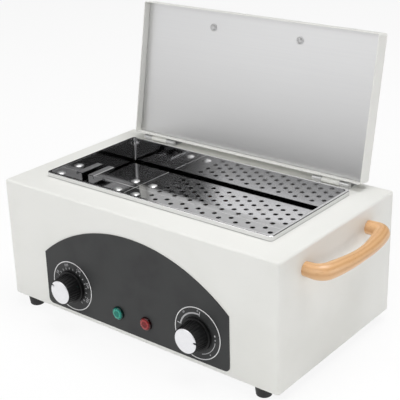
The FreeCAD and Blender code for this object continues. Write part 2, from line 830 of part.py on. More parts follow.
def swept(path, radius, start, direction):
    """A round bar along a path, its volume held against its section times its length."""
    ring = Part.Wire([Part.makeCircle(radius, start, direction)])
    bar = path.makePipeShell([ring], True, False)
    expected = math.pi * radius ** 2 * path.Length
    if abs(bar.Volume / expected - 1) > SWEEP_TOLERANCE:
        raise RuntimeError(f"a swept bar has {bar.Volume:.0f} instead of {expected:.0f} mm3")
    return bar


def tube(points, radius, bend):
    """A round tube through points, as a feature of the document."""
    feature = doc.addObject("Part::Feature", "tube")
    feature.Shape = swept(rounded_path(points, bend), radius, points[0], points[1] - points[0])
    return feature


def at(*expressions):
    """A point worked out from expressions of named sizes."""
    return Vector(*[number(expression) for expression in expressions])


def heating_element():
    """A tubular heater in legs to and fro under the tray, with a cold pin at each end."""
    level = size("heater_level")
    turn = size("heater_turn_x")
    reach = number("liner_half_width + heater_reach")
    legs = range(int(size("heater_leg_count")))
    rows = [size("heater_leg_pitch") * leg - size("heater_end_y") for leg in legs]
    points = [Vector(-reach, rows[0], level)]
    side = 1
    for before, after in zip(rows, rows[1:]):
        points.append(Vector(side * turn, before, level))
        points.append(Vector(side * turn, after, level))
        side = -side
    points.append(Vector(-reach, rows[-1], level))
    bar = tube(points, size("heater_radius"), number("heater_leg_pitch / 2 - running_gap"))
    pin_start = "-liner_half_width - heater_reach - heater_pin_length"
    pins = [rod("heater_pin_radius", "heater_pin_length + overrun",
                (pin_start, f"{end}heater_end_y", "heater_level"), "X")
            for end in ("-", "")]
    return together(bar, *pins)


def heater_bracket(side):
    """A sheet comb that stands on the floor and carries the legs."""
    reach = "heater_end_y + bracket_margin"
    start = f"{side}bracket_x - bracket_sheet / 2"
    wall = box((start, f"-({reach})", "chamber_floor"), (f"{start} + bracket_sheet", reach, "heater_level"))
    sole = box((start, f"-({reach})", "chamber_floor"),
               (f"{start} + bracket_foot", reach, "chamber_floor + bracket_sheet"))
    notches = [rod("heater_radius + running_gap", "bracket_sheet + 2 * overrun",
                   (f"{start} - overrun", f"{leg} * heater_leg_pitch - heater_end_y", "heater_level"), "X")
               for leg in range(int(size("heater_leg_count")))]
    return less(together(wall, sole), *notches)


def heater_nut(end):
    """A round nut that clamps one heater end to the tub's wall from outside."""
    start = ("-liner_half_width - heater_nut_thickness", f"{end}heater_end_y", "heater_level")
    bore = (f"{start[0]} - overrun", start[1], start[2])
    return less(rod("heater_nut_radius", "heater_nut_thickness", start, "X"),
                rod("heater_radius + running_gap", "heater_nut_thickness + 2 * overrun", bore, "X"))


def bulb_clip(side):
    """A saddle clip over the bulb."""
    low = f"bulb_x {side} bulb_length / 3 - bulb_clip_width / 2"
    high = f"bulb_x {side} bulb_length / 3 + bulb_clip_width / 2"
    level = "chamber_floor + bulb_rise"
    ring = rod("bulb_radius + running_gap + bulb_clip_sheet", "bulb_clip_width", (low, "bulb_y", level), "X")
    sole = box((low, "bulb_y - bulb_radius - bulb_clip_foot", "chamber_floor"),
               (high, "bulb_y + bulb_radius", "chamber_floor + bulb_clip_sheet"))
    stem = box((low, "bulb_y - bulb_clip_sheet", "chamber_floor"),
               (high, "bulb_y + bulb_clip_sheet", f"{level} - bulb_radius"))
    hole = rod("bulb_radius + running_gap", "bulb_clip_width + 2 * overrun",
               (f"{low} - overrun", "bulb_y", level), "X")
    return less(together(ring, sole, stem), hole)


def capillary_tube():
    """The capillary from the bulb, down through the floor and forward to the back of the thermostat."""
    bulb_end = at("bulb_x - bulb_length / 2", "bulb_y", "chamber_floor + bulb_rise")
    drop = bulb_end + at("-capillary_lead", "0", "0")
    head = at("-dial_x", CONTROL_BACK, "dial_z + control_height / 4")
    low = Vector(drop.x, drop.y, head.z)
    behind = head + at("0", "capillary_lead", "0")
    return tube([bulb_end, drop, low, behind, head], size("capillary_radius"), size("capillary_bend"))


keep("heating_element", heating_element())
keep("heater_brackets", group(heater_bracket("-"), heater_bracket("")))
keep("heater_nuts", group(heater_nut("-"), heater_nut("")))
keep("sensor_bulb", rod("bulb_radius", "bulb_length",
                        ("bulb_x - bulb_length / 2", "bulb_y", "chamber_floor + bulb_rise"), "X"))
keep("bulb_clips", group(bulb_clip("-"), bulb_clip("+")))
keep("capillary_tube", capillary_tube())


# Handles
def bow():
    """A bent round bar in the XZ plane: ends on z = 0, the crown towards Z, a pilot hole in each end."""
    half = size("bow_spacing") / 2
    corner = size("bow_corner_radius")
    crown = size("bow_crown_radius")
    lean = math.asin((half - corner) / (crown - corner))
    leg = size("bow_stand_off") - corner * math.cos(lean) - crown * (1 - math.cos(lean))

    def corner_point(angle):
        """A point of the left corner's arc."""
        return Vector(-half + corner * (1 - math.cos(angle)), 0, leg + corner * math.sin(angle))

    def crown_point(angle):
        """A point of the crown's arc."""
        return Vector(crown * math.sin(angle), 0, size("bow_stand_off") - crown * (1 - math.cos(angle)))

    def mirrored(point):
        """The same point on the other half."""
        return Vector(-point.x, 0, point.z)

    turn = math.pi / 2 - lean
    first = [corner_point(0), corner_point(turn / 2), corner_point(turn)]
    last = [mirrored(point) for point in reversed(first)]
    path = Part.Wire([
        Part.makeLine(Vector(-half, 0, 0), first[0]),
        Part.Arc(*first).toShape(),
        Part.Arc(first[-1], crown_point(0), last[0]).toShape(),
        Part.Arc(*last).toShape(),
        Part.makeLine(last[-1], Vector(half, 0, 0)),
    ])
    bar = doc.addObject("Part::Feature", "bow_bar")
    bar.Shape = swept(path, size("bow_bar_radius"), Vector(-half, 0, 0), Vector(0, 0, 1))
    pilots = [rod("bow_screw_radius + running_gap", "bow_pilot_depth + overrun",
                  (f"{side}bow_spacing / 2", "0", "-overrun")) for side in ("-", "")]
    return less(bar, *pilots)


QUARTER = Rotation(Vector(0, 0, 1), 90)
SIDES = (("left", "-", TURNS["X"].inverted()), ("right", "", TURNS["X"]))


def side_handle(sign, outward):
    """The bow turned on its side against one wall of the case."""
    handle = bow()
    handle.Placement = Placement(Vector(), outward.multiply(QUARTER))
    return move_to(handle, (f"{sign}case_half_width", "side_bow_y", "side_bow_z"))


def bow_washer():
    """A flat washer at the origin, its face on z = 0, below it."""
    return less(rod("bow_washer_radius", "bow_washer_thickness", ("0", "0", "-bow_washer_thickness")),
                rod("bow_screw_radius + screw_gap", "bow_washer_thickness + 2 * overrun",
                    ("0", "0", "-bow_washer_thickness - overrun")))


side_screw = cross_screw("bow_screw", "bow_washer_thickness + case_sheet + bow_screw_reach")
side_washer = bow_washer()
screw_groups = []
washer_groups = []
for place, sign, turn in SIDES:
    keep(f"{place}_side_handle", side_handle(sign, turn))
    inward = "+" if sign else "-"
    spots = [(f"{sign}case_half_width {inward} case_sheet", f"side_bow_y {end} bow_spacing / 2", "side_bow_z")
             for end in ("-", "+")]
    washer_groups.append(copies(side_washer, spots, turn))
    heads = [(f"{spot[0]} {inward} bow_washer_thickness", spot[1], spot[2]) for spot in spots]
    screw_groups.append(copies(side_screw, heads, turn))
keep("side_handle_screws", group(*screw_groups))
keep("side_handle_washers", group(*washer_groups))


# Lid, modelled shut and then turned back about its hinge
LID_BODY = []


def keep_lid(name, feature):
    """Names a sub-part of the lid and marks it to be turned open."""
    LID_BODY.append(feature)
    return keep(name, feature)


LID_BOW_SPOTS = [(f"{side}bow_spacing / 2", "lid_bow_y") for side in ("-", "")]
LID_RIVET_SPOTS = [(across, "lid_back", "hinge_z + lid_rivet_from_axis") for across, _ in RIVET_SPOTS]


def lid_holes(low, high):
    """Holes for the two handle screws between two levels."""
    length = f"({high}) - ({low}) + 2 * overrun"
    return [rod("bow_screw_radius + screw_gap", length, (across, along, f"{low} - overrun"))
            for across, along in LID_BOW_SPOTS]


def lid_shell():
    """The folded white lid: top sheet and four flanges, open below."""
    outside = rounded(
        box(("-lid_half_width", "lid_front", "lid_edge"), ("lid_half_width", "lid_back", "lid_top")),
        "lid_corner_radius", upright_or_top)
    inside = box(("-lid_half_width + lid_sheet", "lid_front + lid_sheet", "lid_edge - overrun"),
                 ("lid_half_width - lid_sheet", "lid_back - lid_sheet", "lid_inside_top"))
    rivets = [rod("rivet_radius + screw_gap", "lid_sheet + 2 * overrun",
                  (across, f"{along} - lid_sheet - overrun", up), "Y")
              for across, along, up in LID_RIVET_SPOTS]
    return less(outside, inside, *lid_holes("lid_inside_top", "lid_top"), *rivets)


def lid_panel():
    """The flat inner panel, set back from the free edge."""
    half = "lid_half_width - lid_sheet - sheet_gap"
    plate = box((f"-({half})", "lid_front + lid_sheet + sheet_gap", "lid_panel_under"),
                (half, "lid_back - lid_sheet - sheet_gap", "lid_panel_top"))
    return less(plate, *lid_holes("lid_panel_under", "lid_panel_top"))


def lid_insulation():
    """The fibre pad between the panel and the top sheet."""
    half = "lid_half_width - lid_sheet - lid_wool_inset"
    pad = box((f"-({half})", "lid_front + lid_sheet + lid_wool_inset", "lid_panel_top"),
              (half, "lid_back - lid_sheet - lid_wool_inset", "lid_inside_top"))
    return less(pad, *lid_holes("lid_panel_top", "lid_inside_top"))


keep_lid("lid_shell", lid_shell())
keep_lid("lid_panel", lid_panel())
keep_lid("lid_insulation", lid_insulation())
lid_bow = bow()
move_to(lid_bow, ("0", "lid_bow_y", "lid_top"))
keep_lid("lid_handle", group(lid_bow))
keep_lid("lid_handle_washers", copies(bow_washer(), [(x, y, "lid_panel_under") for x, y in LID_BOW_SPOTS]))
keep_lid("lid_handle_screws", copies(
    cross_screw("bow_screw", "bow_washer_thickness + lid_top - lid_panel_under + bow_screw_reach"),
    [(x, y, "lid_panel_under - bow_washer_thickness") for x, y in LID_BOW_SPOTS]))


# Hinges: three knuckles each, the middle one on the lid
def knuckle(middle, low, high):
    """A knuckle round the pin between two offsets from the hinge's middle."""
    start = (f"{middle} + {low}", "hinge_y", "hinge_z")
    return rod("hinge_radius", f"({high}) - ({low})", start, "X")


def pin_hole(middle):
    """The bore for the pin through all knuckles."""
    return rod("hinge_pin_radius + running_gap", "2 * hinge_outer_end + 2 * overrun",
               (f"{middle} - hinge_outer_end - overrun", "hinge_y", "hinge_z"), "X")


def fixed_leaf(side):
    """The leaf on the case top, with the two outer knuckles."""
    middle = f"{side}hinge_centre_x"
    plate = box((f"{middle} - hinge_outer_end", "hinge_y", "case_top"),
                (f"{middle} + hinge_outer_end", "hinge_y + fixed_leaf_reach", "case_top + leaf_sheet"))
    clear = box((f"{middle} - hinge_outer_start", "hinge_y - hinge_radius - overrun", "case_top - overrun"),
                (f"{middle} + hinge_outer_start", "hinge_y + hinge_radius + moving_gap",
                 "hinge_z + hinge_radius + overrun"))
    spans = (("-hinge_outer_end", "-hinge_outer_start"), ("hinge_outer_start", "hinge_outer_end"))
    web = [box((f"{middle} + {low}", "hinge_y", "case_top"),
               (f"{middle} + {high}", "hinge_y + hinge_radius", "hinge_z"))
           for low, high in spans]
    ends = [knuckle(middle, low, high) for low, high in spans]
    rivets = [rod("rivet_radius + screw_gap", "leaf_sheet + 2 * overrun",
                  (f"{middle} + {step} * rivet_pitch", "hinge_y + rivet_from_axis", "case_top - overrun"))
              for step in (-1, 0, 1)]
    return less(together(less(plate, clear), *ends, *web), pin_hole(middle), *rivets)


def moving_leaf(side):
    """The leaf on the lid's back flange, with the middle knuckle."""
    middle = f"{side}hinge_centre_x"
    above = "hinge_z + hinge_radius + moving_gap"
    plate = box((f"{middle} - hinge_outer_end", "lid_back", above),
                (f"{middle} + hinge_outer_end", "lid_back + leaf_sheet", "hinge_z + moving_leaf_rise"))
    neck = box((f"{middle} - hinge_inner_end", "lid_back", "hinge_z"),
               (f"{middle} + hinge_inner_end", "lid_back + leaf_sheet", above))
    web = box((f"{middle} - hinge_inner_end", "lid_back", "hinge_z"),
              (f"{middle} + hinge_inner_end", "hinge_y", "hinge_z + hinge_radius / 2"))
    level = "hinge_z + lid_rivet_from_axis"
    rivets = [rod("rivet_radius + screw_gap", "leaf_sheet + 2 * overrun",
                  (f"{middle} + {step} * rivet_pitch", "lid_back - overrun", level), "Y")
              for step in (-1, 0, 1)]
    roll = knuckle(middle, "-hinge_inner_end", "hinge_inner_end")
    return less(together(plate, neck, web, roll), pin_hole(middle), *rivets)


def hinge_pin(side):
    """A headed pin through the three knuckles."""
    start = f"{side}hinge_centre_x - hinge_outer_end"
    end = f"{side}hinge_centre_x + hinge_outer_end"
    shank = rod("hinge_pin_radius", "2 * hinge_outer_end + hinge_pin_head", (start, "hinge_y", "hinge_z"), "X")
    head = rod("hinge_pin_head_radius", "hinge_pin_head", (end, "hinge_y", "hinge_z"), "X")
    return together(shank, head)


def rivet(sheets):
    """A rivet at the origin: domed head above z = 0, tail below the sheets."""
    return turned([
        ("0", "rivet_head_rise"),
        ("rivet_head_radius * head_flat_share", "rivet_head_rise"),
        ("rivet_head_radius", "rivet_head_rise * head_edge_share"),
        ("rivet_head_radius", "0"),
        ("rivet_radius", "0"),
        ("rivet_radius", f"-({sheets})"),
        ("rivet_tail_radius", f"-({sheets})"),
        ("rivet_tail_radius", f"-({sheets}) - rivet_tail_rise"),
        ("0", f"-({sheets}) - rivet_tail_rise"),
    ])


for place, side in (("left", "-"), ("right", "")):
    keep(f"{place}_hinge_fixed_leaf", fixed_leaf(side))
    keep_lid(f"{place}_hinge_moving_leaf", moving_leaf(side))
    keep(f"{place}_hinge_pin", hinge_pin(side))
keep("case_hinge_rivets", copies(
    rivet("leaf_sheet + case_sheet"), [(x, y, "case_top + leaf_sheet") for x, y in RIVET_SPOTS]))
keep_lid("lid_hinge_rivets", copies(
    rivet("leaf_sheet + lid_sheet"),
    [(x, f"{y} + leaf_sheet", z) for x, y, z in LID_RIVET_SPOTS],
    TURNS["Y"]))


# Fascia
def fascia_plate():
    """The printed plate: straight sides, rounded lower corners and an arched top."""
    half = size("fascia_half_width")
    bottom = size("fascia_bottom")
    side_top = size("fascia_side_top")
    round_off = size("fascia_corner_radius")
    low = round_off * (1 - math.sqrt(0.5))
    front = size("fascia_front")

    def point(across, up):
        """A point on the plate's front face."""
        return Vector(across, front, up)

    outline = Part.Wire([
        Part.makeLine(point(-half, side_top), point(-half, bottom + round_off)),
        Part.Arc(point(-half, bottom + round_off), point(-half + low, bottom + low),
                 point(-half + round_off, bottom)).toShape(),
        Part.makeLine(point(-half + round_off, bottom), point(half - round_off, bottom)),
        Part.Arc(point(half - round_off, bottom), point(half - low, bottom + low),
                 point(half, bottom + round_off)).toShape(),
        Part.makeLine(point(half, bottom + round_off), point(half, side_top)),
        Part.Arc(point(half, side_top), point(0, size("fascia_top")), point(-half, side_top)).toShape(),
    ])
    plate = doc.addObject("Part::Feature", "plate")
    plate.Shape = Part.Face(outline).extrude(Vector(0, size("fascia_sheet"), 0))
    front_cut = "fascia_front - overrun"
    reach = "fascia_sheet + 2 * overrun"
    holes = []
    for side in ("-", ""):
        holes.append(rod("bush_radius + bush_gap", reach, (f"{side}dial_x", front_cut, "dial_z"), "Y"))
        holes.append(rod("lamp_body_radius + bush_gap", reach, (f"{side}lamp_x", front_cut, "lamp_z"), "Y"))
        for end in ("-", "+"):
            across = f"{side}dial_x {end} control_screw_pitch / 2"
            holes.append(rod("control_screw_radius + screw_gap", reach, (across, front_cut, "dial_z"), "Y"))
    return less(plate, *holes)


keep("fascia_plate", fascia_plate())


# Dial controls
def control_body(side):
    """The box of a control behind the panel: mounting tab, case and a bush for the shaft."""
    middle = f"{side}dial_x"
    low = "dial_z - control_height / 2"
    high = "dial_z + control_height / 2"
    half = "control_width / 2 - control_tab_thickness"
    behind_tab = f"{INSIDE_FRONT} + control_tab_thickness"
    tab = box((f"{middle} - control_width / 2", INSIDE_FRONT, low),
              (f"{middle} + control_width / 2", behind_tab, high))
    back = rounded(
        box((f"{middle} - ({half})", behind_tab, low), (f"{middle} + {half}", CONTROL_BACK, high)),
        "control_tab_thickness", upright)
    bush = rod("bush_radius", f"{INSIDE_FRONT} - (fascia_front - bush_reach) + control_tab_thickness",
               (middle, "fascia_front - bush_reach", "dial_z"), "Y")
    bore = rod("shaft_radius + running_gap", "shaft_seat + case_sheet + fascia_sheet + bush_reach + overrun",
               (middle, "fascia_front - bush_reach - overrun", "dial_z"), "Y")
    screws = [rod("control_screw_radius + screw_gap", "control_screw_reach + overrun",
                  (f"{middle} {end} control_screw_pitch / 2", f"{INSIDE_FRONT} - overrun", "dial_z"), "Y")
              for end in ("-", "+")]
    return less(together(tab, back, bush), bore, *screws)


def control_shaft(side):
    """The shaft from inside the control to the bottom of the knob's bore."""
    return rod("shaft_radius", f"{INSIDE_FRONT} + shaft_seat - overrun - (knob_back - knob_bore_depth)",
               (f"{side}dial_x", "knob_back - knob_bore_depth", "dial_z"), "Y")


def knob_blank():
    """The knob at the origin, turned about Y: skirt towards the panel, face towards the front."""
    return turned([
        ("shaft_radius + running_gap / 2", "0"),
        ("knob_boss_radius", "0"),
        ("knob_boss_radius", "-knob_cavity_depth"),
        ("knob_cavity_radius", "-knob_cavity_depth"),
        ("knob_cavity_radius", "0"),
        ("knob_skirt_radius", "0"),
        ("knob_skirt_radius", "-knob_skirt_height"),
        ("knob_body_radius", "-knob_skirt_height - knob_shoulder_height"),
        ("knob_face_radius", "-knob_height + cap_seat"),
        ("knob_face_radius - cap_seat", "-knob_height"),
        ("cap_radius + running_gap", "-knob_height"),
        ("cap_radius + running_gap", "-knob_height + cap_seat"),
        ("0", "-knob_height + cap_seat"),
        ("0", "-knob_bore_depth"),
        ("shaft_radius + running_gap / 2", "-knob_bore_depth"),
    ], "XY_Plane")


def knob_flutes():
    """Narrow grooves all round the grip, each parallel to the taper's middle."""
    count = int(size("knob_flute_count"))
    radius = (size("knob_body_radius") + size("knob_face_radius")) / 2 + size("knob_flute_radius") / 2
    depth = number("-knob_height - overrun")
    length = number("knob_height - knob_skirt_height - knob_shoulder_height + overrun")
    grooves = []
    for index in range(count):
        angle = 2 * math.pi * index / count
        start = Vector(radius * math.sin(angle), depth, radius * math.cos(angle))
        grooves.append(Part.makeCylinder(size("knob_flute_radius"), length, start, Vector(0, 1, 0)))
    feature = doc.addObject("Part::Feature", "grooves")
    feature.Shape = Part.makeCompound(grooves)
    return feature


def placed_knob(feature, side, turn):
    """Puts a knob piece on its shaft at its dial setting."""
    feature.Placement = Placement(Vector(), Rotation(Vector(0, 1, 0), size(turn)))
    return move_to(feature, (f"{side}dial_x", "knob_back", "dial_z"))


def knob_cap():
    """The aluminium disc in the knob's face, notched at the pointer."""
    disc = turned([
        ("0", "-knob_height + cap_seat"),
        ("cap_radius", "-knob_height + cap_seat"),
        ("cap_radius", "-knob_height + cap_seat - cap_thickness * (1 - cap_edge_share)"),
        ("cap_radius - cap_thickness * cap_edge_share", "-knob_height + cap_seat - cap_thickness"),
        ("0", "-knob_height + cap_seat - cap_thickness"),
    ], "XY_Plane")
    notch = box(("-cap_notch_width / 2", "-knob_height - overrun", "cap_radius - cap_notch_length"),
                ("cap_notch_width / 2", "-knob_height + cap_seat + overrun", "cap_radius + overrun"))
    return less(disc, notch)


for control, side in (("thermostat", "-"), ("timer", "")):
    keep(f"{control}_body", control_body(side))
    keep(f"{control}_shaft", control_shaft(side))
    keep(f"{control}_knob", placed_knob(less(knob_blank(), knob_flutes()), side, f"{control}_angle"))
    keep(f"{control}_knob_cap", placed_knob(knob_cap(), side, f"{control}_angle"))
keep("control_screws", copies(
    slotted_screw("control_screw", "control_screw_reach"),
    [(f"{side}dial_x {end} control_screw_pitch / 2", "fascia_front", "dial_z")
     for side in ("-", "") for end in ("-", "+")],
    TURNS["Y"]))


# Pilot lamps
def lamp_lens(side):
    """A domed lens on the fascia with a stem into its holder."""
    body = turned([
        ("0", "lamp_stem_length"),
        ("lamp_stem_radius", "lamp_stem_length"),
        ("lamp_stem_radius", "0"),
        ("lamp_lens_radius", "0"),
        ("lamp_lens_radius", "-lamp_lens_height + lamp_lens_edge"),
        ("lamp_lens_radius - lens_bevel", "-lamp_lens_height + lens_bevel"),
        ("lamp_lens_radius - lamp_lens_edge", "-lamp_lens_height"),
        ("0", "-lamp_lens_height"),
    ], "XY_Plane")
    return move_to(body, (f"{side}lamp_x", "fascia_front", "lamp_z"))


def lamp_body(side):
    """The holder behind the panel, with two tags."""
    barrel = rod("lamp_body_radius", "lamp_body_length", (f"{side}lamp_x", "fascia_front", "lamp_z"), "Y")
    well = rod("lamp_stem_radius + running_gap", "lamp_stem_length + running_gap + overrun",
               (f"{side}lamp_x", "fascia_front - overrun", "lamp_z"), "Y")
    tags = [box((f"{side}lamp_x {end} lamp_stem_radius / 2 - tag_thickness / 2",
                 "fascia_front + lamp_body_length", "lamp_z - tag_width / 2"),
                (f"{side}lamp_x {end} lamp_stem_radius / 2 + tag_thickness / 2",
                 "fascia_front + lamp_body_length + lamp_tag_length", "lamp_z + tag_width / 2"))
            for end in ("-", "+")]
    return together(less(barrel, well), *tags)


def lamp_clip(side):
    """A spring washer that holds a lamp behind the panel."""
    start = (f"{side}lamp_x", INSIDE_FRONT, "lamp_z")
    bore = (start[0], f"{INSIDE_FRONT} - overrun", start[2])
    return less(rod("lamp_clip_radius", "lamp_clip_thickness", start, "Y"),
                rod("lamp_body_radius + running_gap", "lamp_clip_thickness + 2 * overrun", bore, "Y"))


for colour, side in (("green", "-"), ("red", "")):
    keep(f"{colour}_lamp_lens", lamp_lens(side))
    keep(f"{colour}_lamp_body", lamp_body(side))
keep("lamp_clips", group(lamp_clip("-"), lamp_clip("")))


# Electrics and the cord entry
def block_way(way):
    """The place across of one way of the terminal block."""
    return f"block_x + ({way} - (block_ways - 1) / 2) * block_length / block_ways"


def terminal_block():
    """A moulded block with a screw well for each way."""
    block = rounded(
        box(("block_x - block_length / 2", "block_y - block_width / 2", "case_bottom + base_sheet"),
            ("block_x + block_length / 2", "block_y + block_width / 2", "block_top")),
        "block_edge_radius", upright)
    wells = [rod("block_well_radius", "block_well_depth + overrun",
                 (block_way(way), "block_y", "block_top - block_well_depth"))
             for way in range(int(size("block_ways")))]
    return less(block, *wells)


def cord_gland():
    """The bush in the back wall that the mains cord passes through, with its nut."""
    back = "case_half_depth"
    flange = rod("gland_flange_radius", "gland_flange_thickness", ("gland_x", back, "gland_z"), "Y")
    barrel = rod("gland_barrel_radius", "case_sheet + gland_inside",
                 ("gland_x", f"{back} - case_sheet - gland_inside", "gland_z"), "Y")
    nut = rod("gland_nut_radius", "gland_nut_thickness",
              ("gland_x", f"{back} - case_sheet - gland_nut_thickness", "gland_z"), "Y")
    bore = rod("gland_bore_radius", "case_sheet + gland_inside + gland_flange_thickness + 2 * overrun",
               ("gland_x", f"{back} - case_sheet - gland_inside - overrun", "gland_z"), "Y")
    return less(together(flange, barrel, nut), bore)


def lead(way, level, end):
    """A lead from one way of the block, up to its level, slantwise across and then forward or up to its end."""
    height = number(level)
    stop = at(*end)
    start = at(block_way(way), "block_y - block_width / 2", "case_bottom + base_sheet + block_height / 2")
    out = Vector(start.x, start.y - 2 * size("lead_bend") - way * size("lead_pitch"), start.z)
    if stop.z > height + TOUCH:
        turn = Vector(stop.x, stop.y, height)
    else:
        turn = stop + at("0", "2 * lead_bend", "0")
    points = [start, out, Vector(out.x, out.y, height), turn, stop]
    return tube(points, size("lead_radius"), size("lead_bend") / 2)


keep("terminal_block", terminal_block())
keep("cord_gland", cord_gland())
keep("thermostat_lead", lead(0, "dial_z", ("-dial_x", CONTROL_BACK, "dial_z")))
keep("timer_lead", lead(1, "dial_z + lead_pitch", ("dial_x", CONTROL_BACK, "dial_z + lead_pitch")))
keep("cutout_lead", lead(2, "dial_z - lead_pitch", (
    "cutout_x + cutout_tag_pitch / 2", "chamber_offset", "liner_bottom - cutout_height - cutout_tag_height")))


# Open the lid, check every feature and write the sub-parts
doc.recompute()
axle = Vector(0, size("hinge_y"), size("hinge_z"))
opened = Placement(Vector(), Rotation(Vector(1, 0, 0), -size("lid_open_angle")), axle)
for feature in LID_BODY:
    feature.Placement = opened.multiply(feature.Placement)
doc.recompute()

for feature in doc.Objects:
    if "Invalid" in feature.State or "Error" in feature.State:
        raise RuntimeError(f"{feature.Label} failed: {feature.State}")
os.makedirs("parts", exist_ok=True)
for name, feature in PARTS.items():
    shape = feature.Shape
    if shape.isNull() or not shape.isValid() or not shape.Solids:
        raise RuntimeError(f"{name} has no valid solid")
    shape.exportStep(f"parts/{name}.step")
    print(f"{name}: {len(shape.Solids)} solids, {shape.Volume:.0f} mm3")
print(f"{len(PARTS)} sub-parts")
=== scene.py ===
import logging
import math
from dataclasses import dataclass
from enum import Enum
from typing import Any, Iterable, Sequence, Union

import bmesh
import bpy
from mathutils import Matrix, Vector


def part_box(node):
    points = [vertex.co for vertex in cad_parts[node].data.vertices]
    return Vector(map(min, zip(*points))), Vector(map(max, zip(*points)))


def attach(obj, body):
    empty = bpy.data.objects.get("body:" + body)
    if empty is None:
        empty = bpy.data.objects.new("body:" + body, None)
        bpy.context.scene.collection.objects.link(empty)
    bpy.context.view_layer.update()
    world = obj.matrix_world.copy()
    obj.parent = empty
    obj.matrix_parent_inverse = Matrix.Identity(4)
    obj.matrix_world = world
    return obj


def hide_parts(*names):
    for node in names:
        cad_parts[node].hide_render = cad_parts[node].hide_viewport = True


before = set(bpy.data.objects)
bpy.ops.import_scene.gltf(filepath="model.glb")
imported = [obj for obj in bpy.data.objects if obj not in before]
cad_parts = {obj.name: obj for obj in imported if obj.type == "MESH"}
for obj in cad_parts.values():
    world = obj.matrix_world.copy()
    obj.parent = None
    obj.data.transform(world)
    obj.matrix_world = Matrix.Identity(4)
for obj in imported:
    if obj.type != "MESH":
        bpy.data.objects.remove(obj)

LOG = logging.getLogger("sterilizer")
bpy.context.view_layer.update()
MM = 0.001
MERGE = 1e-6
CUT = 1e-7
FOLD = math.radians(40)
ROUND_STEPS = 3
Colour = tuple[float, float, float]
Scale = tuple[float, float, float]
Span = tuple[float, float]
Mesh = bmesh.types.BMesh
Edge = bmesh.types.BMEdge
Amount = Union[float, "Value"]


def srgb(red: int, green: int, blue: int) -> Colour:
    """Turns a colour as seen on a screen into the linear colour that shaders use.

    Args:
        red: Red from 0 to 255.
        green: Green from 0 to 255.
        blue: Blue from 0 to 255.

    Returns:
        The linear colour.
    """
    def linear(channel: int) -> float:
        """Gives one channel on the linear scale."""
        share = channel / 255
        return share / 12.92 if share <= 0.04045 else ((share + 0.055) / 1.055) ** 2.4
    return linear(red), linear(green), linear(blue)


# Shader arithmetic
class Value:
    """A socket that takes part in Python arithmetic by adding Math nodes."""

    def __init__(self, paint: "Paint", socket: bpy.types.NodeSocket) -> None:
        """Holds an output socket of a material."""
        self.paint = paint
        self.socket = socket

    def _with(self, operation: str, *inputs: Amount) -> "Value":
        """Adds one Math node with its inputs in order."""
        return self.paint.node("ShaderNodeMath", {"operation": operation}, dict(enumerate(inputs)))

    def __add__(self, other: Amount) -> "Value":
        """Adds."""
        return self._with("ADD", self, other)

    __radd__ = __add__

    def __sub__(self, other: Amount) -> "Value":
        """Subtracts."""
        return self._with("SUBTRACT", self, other)

    def __rsub__(self, other: Amount) -> "Value":
        """Subtracts from a number."""
        return self._with("SUBTRACT", other, self)

    def __mul__(self, other: Amount) -> "Value":
        """Multiplies."""
        return self._with("MULTIPLY", self, other)

    __rmul__ = __mul__

    def __truediv__(self, other: Amount) -> "Value":
        """Divides."""
        return self._with("DIVIDE", self, other)

    def __pow__(self, other: Amount) -> "Value":
        """Raises to a power."""
        return self._with("POWER", self, other)

    def between(self, low: float, high: float) -> "Value":
        """Rises smoothly from 0 at low to 1 at high."""
        return self.paint.node("ShaderNodeMapRange", {"interpolation_type": "SMOOTHSTEP"},
                               {0: self, 1: low, 2: high, 3: 0.0, 4: 1.0})

    def sine(self) -> "Value":
        """Gives the sine."""
        return self._with("SINE", self)

    def larger(self, other: Amount) -> "Value":
        """Gives the larger of two."""
        return self._with("MAXIMUM", self, other)


